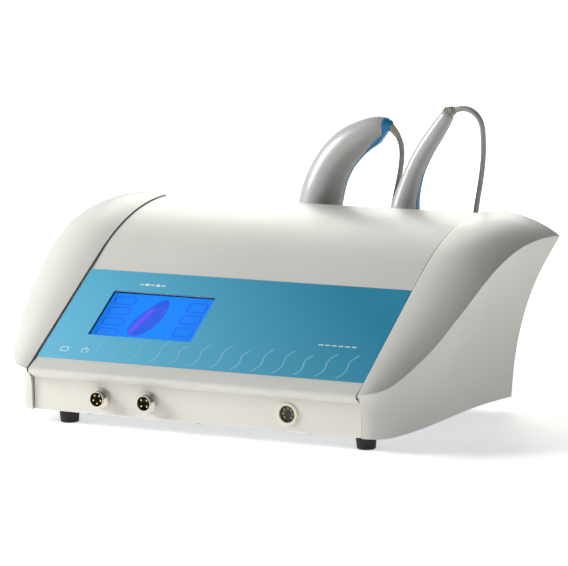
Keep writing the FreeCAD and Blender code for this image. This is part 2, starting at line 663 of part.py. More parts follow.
rackHalf = (cupXB + cupRadiusB + 8 - (cupXA - cupRadiusA - 8)) / 2
rackMiddle = (cupXA - cupRadiusA - 8 + cupXB + cupRadiusB + 8) / 2
rackFlangeUp = (92.0, 140.0)
rackScrews = [(backX(rackMiddle) + side * (rackHalf - 10), up) for side in (-1, 1)
              for up in (rackFlangeUp[0] + 8, rackFlangeUp[1] - 8)]


def makeBackPanel():
    up0 = 2.6
    plate = Part.makeBox(hoodWidth - 1.0, panelTopUp - up0, sheet,
                         Vector(-seamX + 0.5, up0, panelFaceW - sheet))
    through = [rod(27.5, (backX(fanX), fanUp, -5), (backX(fanX), fanUp, 5))]
    through += [rod(1.9, (backX(fanX) + a, fanUp + b, -5), (backX(fanX) + a, fanUp + b, 5))
                for a in (-fanPitch / 2, fanPitch / 2) for b in (-fanPitch / 2, fanPitch / 2)]
    through.append(Part.makeBox(inletWidth - 5.4, inletHeight - 5.4, 12,
                                Vector(backX(inletX) - inletWidth / 2 + 2.7,
                                       inletUp - inletHeight / 2 + 2.7, -6)))
    through += [rod(screwRadius + 0.1, (x, baseScrewUp, -6), (x, baseScrewUp, 6)) for x in baseScrewX]
    through += [rod(screwRadius - 0.2, (x, lipScrewUp, -6), (x, lipScrewUp, 6)) for x in lipScrewX]
    through += [rod(2.0, (x, up, -6), (x, up, 6)) for x, up in rackScrews]
    for k in range(14):
        through.append(Part.makeBox(3, 26, 12, Vector(40 + k * 7 - 45, 22, -6)))
    save("rear_panel", onBack(cutAll(plate, through)))
    pans = []
    for x in baseScrewX:
        pans.append(join([rod(3, (x, baseScrewUp, panelFaceW), (x, baseScrewUp, panelFaceW + 2)),
                          rod(screwRadius - 0.25, (x, baseScrewUp, panelFaceW - 5),
                              (x, baseScrewUp, panelFaceW + 1))]))
    for x in lipScrewX:
        pans.append(join([rod(3, (x, lipScrewUp, hoodOverhang), (x, lipScrewUp, hoodOverhang + 2)),
                          rod(screwRadius - 0.25, (x, lipScrewUp, hoodOverhang - 7),
                              (x, lipScrewUp, hoodOverhang + 1))]))
    return [onBack(pan) for pan in pans]


def makeFan():
    x, inner = backX(fanX), panelFaceW - sheet
    body = shifted(roundedPlate(fanSize, fanSize, fanDepth, 4, inner - fanDepth), x, fanUp)
    body = body.cut(rod(28.2, (x, fanUp, inner - fanDepth - 1), (x, fanUp, inner + 1)))
    hubSeat = rod(14, (x, fanUp, inner - fanDepth), (x, fanUp, inner - fanDepth + 2))
    struts = [Part.makeBox(60, 4, 2, Vector(x - 30, fanUp - 2, inner - fanDepth)),
              Part.makeBox(4, 60, 2, Vector(x - 2, fanUp - 30, inner - fanDepth))]
    spindle = rod(1.5, (x, fanUp, inner - fanDepth), (x, fanUp, inner - fanDepth + 9))
    body = join([body, hubSeat, spindle] + [s.common(rod(29, (x, fanUp, inner - 30), (x, fanUp, inner + 9)))
                                            for s in struts])
    holes = [(x + a, fanUp + b) for a in (-fanPitch / 2, fanPitch / 2) for b in (-fanPitch / 2, fanPitch / 2)]
    body = cutAll(body, [rod(1.9, (a, b, inner - 20), (a, b, inner + 5)) for a, b in holes])
    save("fan_frame", onBack(body))
    rotorLow, rotorHigh = inner - fanDepth + 2.5, inner - 1.0
    rotor = rod(12.5, (0, 0, rotorLow), (0, 0, rotorHigh))
    blades = []
    for k in range(7):
        blade = Part.makeBox(17, 1.4, 9.5, Vector(9.8, -0.7, -4.75))
        blade.rotate(Vector(0, 0, 0), Vector(1, 0, 0), 38)
        blade.translate(Vector(0, 0, (rotorLow + rotorHigh) / 2))
        blade.rotate(Vector(0, 0, 0), Vector(0, 0, 1), 360 / 7 * k)
        blades.append(blade)
    rotor = join([rotor] + blades).cut(rod(1.55, (0, 0, rotorLow - 1), (0, 0, inner - fanDepth + 9.6)))
    save("fan_rotor", onBack(shifted(rotor, x, fanUp)))
    face = panelFaceW
    guard = []
    for radius in (8, 15, 22, 28.5):
        ring = rod(radius + 0.9, (x, fanUp, face + 1.0), (x, fanUp, face + 2.8))
        ring = ring.cut(rod(radius - 0.9, (x, fanUp, face), (x, fanUp, face + 4)))
        guard.append(ring.makeFillet(0.5, [e for e in ring.Edges
                                           if abs(e.CenterOfMass.z - face - 2.8) < 0.01]))
    for k in range(4):
        angle = math.radians(45 + 90 * k)
        reach = fanPitch / 2 * math.sqrt(2) - 2.6
        strut = Part.makeBox(reach - 7.5, 1.8, 1.2, Vector(7.5, -0.9, face))
        strut.rotate(Vector(0, 0, 0), Vector(0, 0, 1), math.degrees(angle))
        guard.append(shifted(strut, x, fanUp))
    guard += [Part.makeCylinder(3.4, 1.4, Vector(a, b, face)) for a, b in holes]
    guard = cutAll(join(guard), [rod(1.9, (a, b, face - 1), (a, b, face + 5)) for a, b in holes])
    save("fan_guard", onBack(guard))
    save("fan_screws", *[onBack(join([rod(2.4, (a, b, face + 1.4), (a, b, face + 3.2)),
                                      rod(1.8, (a, b, inner - fanDepth - 2), (a, b, face + 2))]))
                 for a, b in holes])


plugCavity = (24.6, 17.0, 17.0)     # across, up, deep
rockerWidth, rockerHeight = 20.0, 12.0
drawerWidth, drawerHeight, drawerDepth = 24.0, 8.0, 22.0
cavityUp, rockerUp, drawerUp = 46.0, 76.0, 60.5
pivotRadius = 1.2


def makeInlet():
    x, face = backX(inletX), panelFaceW
    front = face + 3.0
    flange = shifted(roundedPlate(inletWidth, inletHeight, 3.0, 3, face), x, inletUp)
    bodyBox = Part.makeBox(inletWidth - 6, inletHeight - 6, inletDepth,
                           Vector(x - inletWidth / 2 + 3, inletUp - inletHeight / 2 + 3, face - inletDepth))
    housing = join([flange, bodyBox])
    across, up, deep = plugCavity
    cavity = shifted(roundedPlate(across, up, deep + 1, 2, front - deep), x, cavityUp)
    rockerHole = Part.makeBox(rockerWidth + 1, rockerHeight + 1, 14,
                              Vector(x - rockerWidth / 2 - 0.5, rockerUp - rockerHeight / 2 - 0.5, front - 13))
    drawerHole = Part.makeBox(drawerWidth + 0.6, drawerHeight + 0.6, drawerDepth + 1.3,
                              Vector(x - drawerWidth / 2 - 0.3, drawerUp - drawerHeight / 2 - 0.3,
                                     front - drawerDepth - 0.3))
    housing = cutAll(housing, [cavity, rockerHole, drawerHole])
    pivotW = front - 3.6
    housing = housing.cut(rod(pivotRadius + 0.05, (x - rockerWidth / 2 - 3, rockerUp, pivotW),
                              (x + rockerWidth / 2 + 3, rockerUp, pivotW)))
    blades = []
    for a, b in ((-7, -1.5), (7, -1.5), (0, 3.0)):
        blade = Part.makeBox(2, 4, 20 + inletDepth - deep,
                             Vector(x + a - 1, cavityUp + b - 2, face - inletDepth - 6))
        housing = housing.cut(blade)
        blades.append(blade)
    save("power_inlet", onBack(housing))
    save("inlet_blades", *[onBack(b) for b in blades])
    body = rod(rockerHeight / 2 + 1.0, (x - rockerWidth / 2, rockerUp, pivotW),
               (x + rockerWidth / 2, rockerUp, pivotW))
    body = body.common(Part.makeBox(rockerWidth, rockerHeight - 0.4, 30,
                                    Vector(x - rockerWidth / 2, rockerUp - rockerHeight / 2 + 0.2,
                                           pivotW - 4.5)))
    valley = rod(14, (x - rockerWidth, rockerUp, pivotW + 18.6), (x + rockerWidth, rockerUp, pivotW + 18.6))
    body = body.cut(valley)
    pins = rod(pivotRadius, (x - rockerWidth / 2 - 2.6, rockerUp, pivotW),
               (x + rockerWidth / 2 + 2.6, rockerUp, pivotW))
    save("rocker", onBack(join([body, pins])))
    drawer = Part.makeBox(drawerWidth, drawerHeight, drawerDepth,
                          Vector(x - drawerWidth / 2, drawerUp - drawerHeight / 2, front - drawerDepth))
    lid = Part.makeBox(drawerWidth + 2, drawerHeight + 1.4, 1.4,
                       Vector(x - drawerWidth / 2 - 1, drawerUp - drawerHeight / 2 - 0.7, front))
    fuseBed = rod(2.7, (x - 11, drawerUp, front - 9), (x + 11, drawerUp, front - 9))
    trough = Part.makeBox(22, 9, 5.4, Vector(x - 11, drawerUp, front - 11.7))
    save("fuse_drawer", onBack(join([drawer, lid]).cut(fuseBed).cut(trough)))
    fuse = join([rod(2.6, (x - 10, drawerUp, front - 9), (x - 5, drawerUp, front - 9)),
                 rod(2.4, (x - 5.5, drawerUp, front - 9), (x + 5.5, drawerUp, front - 9)),
                 rod(2.6, (x + 5, drawerUp, front - 9), (x + 10, drawerUp, front - 9))])
    save("fuse", onBack(fuse))


# ---------------------------------------------------------------- holder rack
def makeRack():
    left, right = rackMiddle - rackHalf, rackMiddle + rackHalf
    shelf = block(left, right, rearFootY + 10, rackBackY, shelfZ, shelfZ + shelfThickness)
    shelf = shelf.makeFillet(14, [e for e in shelf.Edges if abs(e.Vertexes[0].Z - e.Vertexes[-1].Z) > 4
                                  and e.CenterOfMass.y > holderY])
    flange = onBack(Part.makeBox(2 * rackHalf, rackFlangeUp[1] - rackFlangeUp[0], 4.0,
                                 Vector(backX(rackMiddle) - rackHalf, rackFlangeUp[0], panelFaceW)))
    ribs, ribY = [], rearFootY + 15
    for x in (left + 1, rackMiddle + 6, right - 5):
        rib = Part.Face(Part.makePolygon([Vector(x, ribY, 100), Vector(x, ribY, shelfZ + 1),
                                          Vector(x, holderY - 4, shelfZ + 1), Vector(x, ribY, 100)]))
        ribs.append(rib.extrude(Vector(4, 0, 0)))
    cups = []
    bores = []
    for x, radius in ((cupXA, cupRadiusA), (cupXB, cupRadiusB)):
        cups.append(rod(radius + cupWall, (x, holderY, cupFloorZ), (x, holderY, cupTopZ)))
        bores.append(rod(radius, (x, holderY, headFloorZ), (x, holderY, cupTopZ + 1)))
        bores.append(rod(radius - ledgeWidth, (x, holderY, cupFloorZ + cupWall), (x, holderY, cupTopZ + 1)))
        bores.append(rod(4.0, (x, holderY, cupFloorZ - 1), (x, holderY, cupTopZ)))
    rack = join([shelf, flange] + ribs + cups)
    behind = Part.makeBox(600, 400, 200, Vector(-300, -100, panelFaceW))
    rack = rack.common(onBack(behind))
    bores += [onBack(rod(2.0, (x, up, panelFaceW - 2), (x, up, panelFaceW + 8))) for x, up in rackScrews]
    save("holder_rack", cutAll(rack, bores))


# ---------------------------------------------------------------- handpieces
def sections(line, shrink, sideShift=0.0, flat=1.0):
    """Closed oval sections square to the centre line, optionally moved to its hollow side."""
    wires = []
    for k, (x, z, half) in enumerate(line):
        x0, z0, _ = line[max(k - 1, 0)]
        x1, z1, _ = line[min(k + 1, len(line) - 1)]
        along = Vector(x1 - x0, 0, z1 - z0)
        along.normalize()
        side = Vector(along.z, 0, -along.x)
        centre = Vector(x, holderY, z) + side * (half * sideShift)
        across, deep = (half - shrink) * flat, (half - shrink) * depthShare * flat
        if across >= deep:
            oval = Part.Ellipse(centre + side * across, centre + Vector(0, deep, 0), centre)
        else:
            oval = Part.Ellipse(centre + Vector(0, deep, 0), centre + side * across, centre)
        wires.append(Part.Wire(oval.toShape()))
    return wires


def makeHandpiece(tag, line, headRadius, inlayFrom, reliefLength, route):
    body = Part.makeLoft(sections(line, 0.0), True, False)
    hollow = Part.makeLoft(sections(line[:-1], shellWall), True, False)
    tool = Part.makeLoft(sections(line[inlayFrom:], 0.0, 0.98, 0.36), True, False)
    front = block(-300, 300, holderY - 100, holderY, 0, 400)
    shell = body.cut(hollow).cut(tool)
    save(f"{tag}_front_shell", shell.common(front))
    save(f"{tag}_rear_shell", shell.cut(front))
    save(f"{tag}_blue_inlay", body.common(tool).cut(hollow))
    x0, z0 = line[0][:2]
    headTop = z0
    collar = rod(headRadius - 1.0, (x0, holderY, headFloorZ + 5), (x0, holderY, headTop))
    rim = rod(headRadius, (x0, holderY, headFloorZ + 3), (x0, holderY, headTop - 5))
    bore = rod(headRadius - 5, (x0, holderY, headFloorZ + 9), (x0, holderY, headTop + 1))
    head = join([collar, rim]).cut(bore)
    head = head.cut(rod(headRadius - 2.5, (x0, holderY, headFloorZ), (x0, holderY, headFloorZ + 6)))
    stem = rod(2.0, (x0, holderY, headFloorZ), (x0, holderY, headFloorZ + 12))
    save(f"{tag}_head", head.cut(stem))
    plate = rod(headRadius - 2.6, (x0, holderY, headFloorZ), (x0, holderY, headFloorZ + 5.9))
    plate = plate.makeFillet(1.6, [e for e in plate.Edges if abs(e.CenterOfMass.z - headFloorZ) < 0.01])
    post = rod(1.95, (x0, holderY, headFloorZ + 5), (x0, holderY, headFloorZ + 13))
    save(f"{tag}_electrode", join([plate, post]))
    core = rod(headRadius * 0.36, (x0, holderY, headFloorZ + 13), (x0, holderY, headTop + 28))
    save(f"{tag}_matching_coil", core)
    # tapered strain relief on the end of the grip, in line with the cord's first run
    end = Vector(*route[0])
    along = Vector(*route[1]) - end
    along.normalize()
    start = end - along * reliefLength
    relief = Part.makeCone(cordRadius + 2.6, cordRadius + 0.8, reliefLength, start, along)
    grooves = []
    for k in range(int(reliefLength // 2.4) - 1):
        at = start + along * (2.4 + 2.4 * k)
        neck = Part.makeCylinder(cordRadius + 0.5, 0.9, at, along)
        grooves.append(Part.makeCylinder(9, 0.9, at, along).cut(neck))
    save(f"{tag}_strain_relief", cutAll(relief, grooves).cut(body))


# ---------------------------------------------------------------- cords
def tubeAlong(route, radius, name):
    """A tube of straight runs joined by tangent arcs, each as large as its two runs allow."""
    points = [Vector(*p) for p in route]
    edges, here, radii = [], points[0], []
    for a, b, c in zip(points, points[1:], points[2:]):
        into, away = b - a, c - b
        turn = into.getAngle(away)
        reach = 0.45 * min(into.Length, away.Length)
        radii.append(reach / math.tan(turn / 2))
        into.normalize()
        away.normalize()
        start, end = b - into * reach, b + away * reach
        inward = away - into
        inward.normalize()
        middle = b + inward * (radii[-1] / math.cos(turn / 2) - radii[-1])
        edges.append(Part.LineSegment(here, start).toShape())
        edges.append(Part.Arc(start, middle, end).toShape())
        here = end
    edges.append(Part.LineSegment(here, points[-1]).toShape())
    path = Part.Wire(edges)
    ring = Part.Wire(Part.Circle(points[0], points[1] - points[0], radius).toShape())
    tube = path.makePipeShell([ring], True, False)
    share = tube.Volume / (math.pi * radius**2 * path.Length)
    runs = [round((b - a).Length) for a, b in zip(points, points[1:])]
    print(name, "length", round(path.Length, 1), "volume share", round(share, 4),
          "radii", [round(r) for r in radii], "runs", runs)
    return tube


def makeCord(tag, route, coilX):
    save(f"{tag}_cord", tubeAlong(route, cordRadius, tag))
    half = coilColumns * cordRadius
    high = coilLayers * 2 * cordRadius
    ring = rod(coilRadius + half, (coilX, coilY, 0), (coilX, coilY, high))
    ring = ring.cut(rod(coilRadius - half, (coilX, coilY, -1), (coilX, coilY, high + 1)))
    stubs = [rod(cordRadius, (coilX, coilY + side * coilRadius, stubZ),
                 (coilX + stubLength, coilY + side * coilRadius, stubZ)) for side in (-1, 1)]
    save(f"{tag}_coil", join([ring] + stubs))
    x0 = coilX + stubLength
    y0 = coilY - coilRadius
    shell = join([cone(cordRadius + 1.0, plugRadius - 1.4, (x0, y0, stubZ), (x0 + 9, y0, stubZ)),
                  rod(plugRadius - 1.4, (x0 + 9, y0, stubZ), (x0 + 20, y0, stubZ)),
                  rod(plugRadius, (x0 + 20, y0, stubZ), (x0 + plugLength, y0, stubZ))])
    socket = rod(plugRadius - 1.2, (x0 + 24, y0, stubZ), (x0 + plugLength + 1, y0, stubZ))
    core = rod(plugRadius - 2.6, (x0 + 24, y0, stubZ), (x0 + plugLength - 1, y0, stubZ))
    holes = []
    for k in range(4):
        angle = math.pi * (k + 0.5) / 2
        cy, cz = y0 + 3.6 * math.sin(angle), stubZ + 3.6 * math.cos(angle)
        holes.append(rod(1.0, (x0 + 28, cy, cz), (x0 + plugLength, cy, cz)))
    return shell.cut(socket), cutAll(core, holes)


# ---------------------------------------------------------------- small fasteners
def makeFasteners(backScrews):
    cheekScrews = []
    for side in (-1, 1):
        for y, z in hoodBosses:
            outer = side * (cheekInnerX + wall)
            cheekScrews.append(join([rod(3, (outer, y, z), (outer + side * 2.2, y, z)),
                                     rod(screwRadius - 0.25, (side * (seamX - 10), y, z),
                                         (outer + side, y, z))]))
    baseScrews = []
    places = [(side * (cheekInnerX + 7.5), y) for side in (-1, 1) for y in cheekBossY]
    places += [(x, 9.0) for x in frontScrewX]
    for x, y in places:
        baseScrews.append(join([rod(3, (x, y, footHeight - 1.8), (x, y, footHeight)),
                                rod(screwRadius - 0.25, (x, y, footHeight - 1), (x, y, footHeight + 3.6))]))
    save("case_screws", *cheekScrews, *baseScrews, *backScrews)
    rackFixings = [onBack(join([rod(3.6, (x, up, panelFaceW + 4), (x, up, panelFaceW + 6.4)),
                                rod(1.95, (x, up, panelFaceW - 6), (x, up, panelFaceW + 5))]))
                   for x, up in rackScrews]
    footFixings = [join([rod(3.8, (x, y, 2.6), (x, y, 6)), rod(1.95, (x, y, 5), (x, y, footHeight + 6))])
                   for x in feetX for y in feetY]
    save("rack_and_foot_screws", *rackFixings, *footFixings)


# ---------------------------------------------------------------- build
save("hood", makeHood())
save("fascia", makeFascia())
cheek = makeCheek()
save("right_cheek", cheek)
save("left_cheek", mirrored(cheek))
strip = hoodStrip(wall)
save("seam_gaskets", prism(strip, seamX, cheekInnerX), prism(strip, -cheekInnerX, -seamX))
save("base_plate", makeBasePlate())
makeElectronics()
makeDisplay()
makeSockets()
makeFeet()
backScrews = makeBackPanel()
makeFan()
makeInlet()
makeRack()
makeHandpiece("large", handpieceA, headRadiusA, 5, 7.0, cordRouteA)
makeHandpiece("slim", handpieceB, headRadiusB, 2, 9.0, cordRouteB)
plugs = [makeCord("large", cordRouteA, coilXA), makeCord("slim", cordRouteB, coilXB)]
save("plug_shells", *[shell for shell, _ in plugs])
save("plug_cores", *[core for _, core in plugs])
makeFasteners(backScrews)
writeParts()
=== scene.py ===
import bpy
import json
import math
from mathutils import Matrix, Vector


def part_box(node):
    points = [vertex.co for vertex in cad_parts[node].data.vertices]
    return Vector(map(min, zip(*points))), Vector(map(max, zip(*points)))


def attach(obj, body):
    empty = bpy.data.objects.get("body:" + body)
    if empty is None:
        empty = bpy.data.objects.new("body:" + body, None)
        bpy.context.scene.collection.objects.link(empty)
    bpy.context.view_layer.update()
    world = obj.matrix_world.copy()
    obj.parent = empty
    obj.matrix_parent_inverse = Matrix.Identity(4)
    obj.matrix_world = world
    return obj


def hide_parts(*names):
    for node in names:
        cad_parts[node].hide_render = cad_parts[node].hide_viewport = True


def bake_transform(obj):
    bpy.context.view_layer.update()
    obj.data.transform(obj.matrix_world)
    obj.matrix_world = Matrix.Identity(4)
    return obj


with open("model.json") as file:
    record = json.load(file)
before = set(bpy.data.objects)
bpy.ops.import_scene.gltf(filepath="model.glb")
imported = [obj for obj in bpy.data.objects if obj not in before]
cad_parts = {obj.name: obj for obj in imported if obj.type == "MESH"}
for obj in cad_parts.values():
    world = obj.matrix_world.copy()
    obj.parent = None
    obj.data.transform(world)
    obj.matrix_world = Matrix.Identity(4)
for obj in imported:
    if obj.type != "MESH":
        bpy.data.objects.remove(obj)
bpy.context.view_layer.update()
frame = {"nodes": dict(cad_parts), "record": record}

mm = 0.001
scene = bpy.context.scene
nodes = frame["nodes"]
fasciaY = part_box("fascia")[0].y         # front plane of the fascia
print("frame loaded,", len(nodes), "parts")


# ---- small tools


def tint(red, green, blue):
    # everyday colour values to the linear ones that shaders take
    def straight(value):
        share = value / 255
        return share / 12.92 if share <= 0.04045 else ((share + 0.055) / 1.055) ** 2.4
    return (straight(red), straight(green), straight(blue), 1.0)


def spot(x, y, z):
    # millimetres from the fascia's front plane, the middle plane and the floor
    return Vector((x * mm, y * mm + fasciaY, z * mm))


class Wire:
    # a shader socket that can stand in a sum
    def __init__(self, finish, socket):
        self.finish = finish
        self.socket = socket

    def worked(self, operation, first, second=0.0):
        return self.finish.node("ShaderNodeMath", dict(operation=operation), {0: first, 1: second})

    def __add__(self, other):
        return self.worked("ADD", self, other)

    def __radd__(self, other):
        return self.worked("ADD", other, self)

    def __sub__(self, other):
        return self.worked("SUBTRACT", self, other)

    def __rsub__(self, other):
        return self.worked("SUBTRACT", other, self)

    def __mul__(self, other):
        return self.worked("MULTIPLY", self, other)

    def __rmul__(self, other):
        return self.worked("MULTIPLY", other, self)

    def __truediv__(self, other):
        return self.worked("DIVIDE", self, other)

    def __rtruediv__(self, other):
        return self.worked("DIVIDE", other, self)


class Finish:
    # one material with its shader, and the single way of adding any other node
    def __init__(self, name, **fixed):
        self.material = bpy.data.materials.new(name)
        self.material.use_nodes = True
        self.tree = self.material.node_tree
        self.shader = next(n for n in self.tree.nodes if n.type == "BSDF_PRINCIPLED")
        for key, value in fixed.items():
            self.shader.inputs[key.replace("_", " ")].default_value = value

    def node(self, kind, settings=None, links=None, out=0):
        made = self.tree.nodes.new(kind)
        for key, value in (settings or {}).items():
            setattr(made, key, value)
        for key, value in (links or {}).items():
            if isinstance(value, Wire):
                self.tree.links.new(value.socket, made.inputs[key])
            else:
                made.inputs[key].default_value = value
        return Wire(self, made.outputs[out])

    def feed(self, name, value):
        self.tree.links.new(value.socket, self.shader.inputs[name])
        return self

    def place(self, stretch=(1, 1, 1)):
        # where a point lies on the object, stretched if wanted
        here = self.node("ShaderNodeTexCoord", out=3)
        return self.node("ShaderNodeMapping", links={0: here, 3: stretch})

    def grain(self, scale, detail=3.0, stretch=(1, 1, 1), rough=0.5):
        return self.node("ShaderNodeTexNoise", links={
            "Vector": self.place(stretch), "Scale": scale, "Detail": detail, "Roughness": rough})

    def between(self, share, first, second):
        return self.node("ShaderNodeMix", dict(data_type="RGBA"), {0: share, 6: first, 7: second}, out=2)

    def ranged(self, value, low, high, fromLow=0.3, fromHigh=0.7):
        return self.node("ShaderNodeMapRange", links={
            0: value, 1: fromLow, 2: fromHigh, 3: low, 4: high})

    def bump(self, height, distance, strength=1.0):
        self.feed("Normal", self.node("ShaderNodeBump", links={
            "Strength": strength, "Distance": distance, "Height": height}))
        return self


def addPiece(name, points, faces, finish, slotName, body, smooth=38, stands=()):
    mesh = bpy.data.meshes.new(name)
    mesh.from_pydata([tuple(p) for p in points], [], faces)
    mesh.validate()
    mesh.update()
    if smooth:
        mesh.shade_smooth()
        mesh.set_sharp_from_angle(angle=math.radians(smooth))
    piece = bpy.data.objects.new(name, mesh)
    scene.collection.objects.link(piece)
    mesh.materials.append(finish.material)
    if body:
        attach(piece, body)
    if stands:
        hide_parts(*stands)
    return piece


def stitched(rows, closed=True, caps=True):
    # points and faces of a skin through rows of points
    count = len(rows[0])
    points = [p for row in rows for p in row]
    faces = []
    for r in range(len(rows) - 1):
        for c in range(count if closed else count - 1):
            n = (c + 1) % count
            faces.append((r * count + c, r * count + n, (r + 1) * count + n, (r + 1) * count + c))
    if caps:
        faces.append(tuple(reversed(range(count))))
        faces.append(tuple(range((len(rows) - 1) * count, len(rows) * count)))
    return points, faces


def joined(parts):
    points, faces = [], []
    for somePoints, someFaces in parts:
        start = len(points)
        points += list(somePoints)
        faces += [tuple(start + k for k in face) for face in someFaces]
    return points, faces


def turned(profile, base, axis, sides=48, ripple=None):
    # a profile of (along, radius) pairs in millimetres, turned about an axis
    axis = Vector(axis).normalized()
    across = axis.orthogonal().normalized()
    other = axis.cross(across)
    rows = []
    for along, radius in profile:
        row = []
        for k in range(sides):
            angle = 2 * math.pi * k / sides
            reach = radius + (ripple(along, radius, angle) if ripple else 0.0)
            outwards = across * math.cos(angle) + other * math.sin(angle)
            row.append(base + axis * along * mm + outwards * reach * mm)
        rows.append(row)
    return stitched(rows)


def smoothLine(stations, steps):
    # the stations with smooth ones added between them
    line = []
    last = len(stations) - 1
    for k in range(last):
        a = Vector(stations[max(k - 1, 0)])
        b, c = Vector(stations[k]), Vector(stations[k + 1])
        d = Vector(stations[min(k + 2, last)])
        for s in range(steps):
            t = s / steps
            line.append(0.5 * (2 * b + (c - a) * t + (2 * a - 5 * b + 4 * c - d) * t * t
                               + (3 * b - 3 * c + d - a) * t ** 3))
    line.append(Vector(stations[-1]))
    return line


# ---- camera, floor and light

cameraSet = dict(azimuth=26.991, elevation=9.295, roll=-0.766, distance=3361.5, lens=216.56,
                 target=(24.91, 140.0, 126.75), shiftX=0.0033, shiftY=0.0046)


def makeCamera():
    turn, lift, roll = (math.radians(cameraSet[k]) for k in ("azimuth", "elevation", "roll"))
    back = Vector((math.sin(turn) * math.cos(lift), -math.cos(turn) * math.cos(lift), math.sin(lift)))
    right = Vector((math.cos(turn), math.sin(turn), 0))
    up = back.cross(right)
    right, up = (right * math.cos(roll) + up * math.sin(roll),
                 up * math.cos(roll) - right * math.sin(roll))
    data = bpy.data.cameras.new("camera")
    data.lens = cameraSet["lens"]
    data.shift_x, data.shift_y = cameraSet["shiftX"], cameraSet["shiftY"]
    data.clip_start, data.clip_end = 0.1, 20
    camera = bpy.data.objects.new("camera", data)
    scene.collection.objects.link(camera)
    position = spot(*cameraSet["target"]) + back * cameraSet["distance"] * mm
    facing = Matrix((right, up, back)).transposed().to_4x4()
    camera.matrix_world = Matrix.Translation(position) @ facing
    scene.camera = camera


# each lamp: place, what it points at, size, power, colour
studioSet = dict(world=0.14, floor=tint(250, 250, 249), floorGlow=1.0,
                 lamps=[((-2.15, -0.8, 1.05), (0.0, 0.0, 0.12), 1.2, 80.0, (1.0, 1.0, 0.995)),
                        ((1.9, 0.9, 0.35), (0.0, 0.0, 0.14), 1.0, 1.0, (0.93, 0.97, 1.0)),
                        ((-0.7, 1.7, 1.25), (-0.02, 0.05, 0.18), 1.5, 25.0, (1.0, 1.0, 0.95))])


def makeStudio():
    world = bpy.data.worlds.new("studio")
    world.use_nodes = True
    tree = world.node_tree
    back = tree.nodes["Background"]
    back.inputs[0].default_value = (1.0, 1.0, 1.0, 1.0)
    rays = tree.nodes.new("ShaderNodeLightPath")
    level = tree.nodes.new("ShaderNodeMapRange")      # a white backdrop behind a softer surround
    level.inputs[3].default_value, level.inputs[4].default_value = studioSet["world"], 1.0
    tree.links.new(rays.outputs[0], level.inputs[0])
    tree.links.new(level.outputs[0], back.inputs[1])
    scene.world = world
    scene.view_settings.view_transform = "Standard"
    for k, (place, aim, size, power, colour) in enumerate(studioSet["lamps"]):
        data = bpy.data.lights.new(f"lamp{k}", "AREA")
        data.shape = "DISK"
        data.size, data.energy, data.color = size, power, colour
        lamp = bpy.data.objects.new(f"lamp{k}", data)
        lamp.location = place
        lamp.rotation_mode = "QUATERNION"
        lamp.rotation_quaternion = (Vector(aim) - Vector(place)).to_track_quat("-Z", "Y")
        scene.collection.objects.link(lamp)
    paper = Finish("paleFloor", Base_Color=studioSet["floor"], Emission_Strength=studioSet["floorGlow"])
    paper.feed("Roughness", paper.ranged(paper.grain(6.0), 0.62, 0.75))
    middle = paper.node("ShaderNodeVectorMath", dict(operation="LENGTH"), {0: paper.place()}, out=1)
    paper.feed("Emission Color", paper.between(paper.ranged(middle, 0.5, 1.0, 0.45, 2.0),
                                               (0, 0, 0, 1), (1, 1, 1, 1)))
    mesh = bpy.data.meshes.new("floor")
    reach = 9.0
    mesh.from_pydata([(-reach, -reach, 0), (reach, -reach, 0), (reach, reach, 0), (-reach, reach, 0)],
                     [], [(0, 1, 2, 3)])
    mesh.materials.append(paper.material)
    floor = bpy.data.objects.new("floor", mesh)
    scene.collection.objects.link(floor)


makeCamera()
makeStudio()
print("camera and studio ready")


# ---- finishes

finishSet = dict(
    shell=dict(light=tint(213, 212, 206), dark=tint(208, 207, 201), roughness=(0.36, 0.43)),
    # the overlay's light and dark tones are the two ends of the film's painted shade
    overlay=dict(light=tint(112, 194, 228), dark=tint(44, 136, 168)),
    screen=dict(colour=tint(0, 132, 255), glow=1.0),
)


def mouldedPlastic(name, light, dark, roughness, grainSize=900.0, depth=0.00003, coat=0.0):
    # moulded plastic: cloudy tone, fine spark grain, uneven gloss
    finish = Finish(name, Specular_IOR_Level=0.5, Coat_Weight=coat)
    cloud = finish.grain(9.0, 4.0)
    finish.feed("Base Color", finish.between(finish.ranged(cloud, 0.0, 1.0), dark, light))
    finish.feed("Roughness", finish.ranged(finish.grain(40.0, 3.0), *roughness))
    spark = finish.grain(grainSize, 2.0)
    return finish.bump(spark, depth, 0.35)


def workedMetal(name, colour, roughness, stretch=(1, 1, 1), scale=300.0, depth=0.00002):
    finish = Finish(name, Metallic=1.0)
    streak = finish.grain(scale, 4.0, stretch)
    dull = tuple(c * 0.82 for c in colour[:3]) + (1.0,)
    finish.feed("Base Color", finish.between(finish.ranged(streak, 0.0, 1.0), dull, colour))
    finish.feed("Roughness", finish.ranged(finish.grain(60.0, 3.0), *roughness))
    return finish.bump(streak, depth, 0.4)


shellFinish = mouldedPlastic("satinShell", **finishSet["shell"])
fasciaFinish = mouldedPlastic("creamFascia", tint(224, 221, 213), tint(220, 217, 208), (0.38, 0.46))
handFinish = mouldedPlastic("handpieceShell", tint(176, 177, 176), tint(171, 172, 170), (0.3, 0.38),
                            1200.0, 0.00001, 0.15)
blueFinish = mouldedPlastic("blueInlay", tint(44, 146, 198), tint(32, 124, 180), (0.22, 0.32), 700.0, 0.00001)
darkFinish = mouldedPlastic("darkPlastic", tint(44, 44, 46), tint(32, 32, 34), (0.42, 0.55))
holderFinish = mouldedPlastic("holderPlastic", tint(206, 203, 195), tint(196, 193, 185), (0.4, 0.5))
ivoryFinish = mouldedPlastic("ivoryPlastic", tint(232, 227, 208), tint(222, 216, 196), (0.3, 0.38))
# dark brown seal colour, which also serves as a painted shadow line for the shade in the seam gap beside the
# cheeks
gasketSealAndShadowLine = mouldedPlastic("gasketRubberAndShadowLine", tint(92, 84, 74), tint(74, 67, 59), (0.6, 0.75), 500.0)
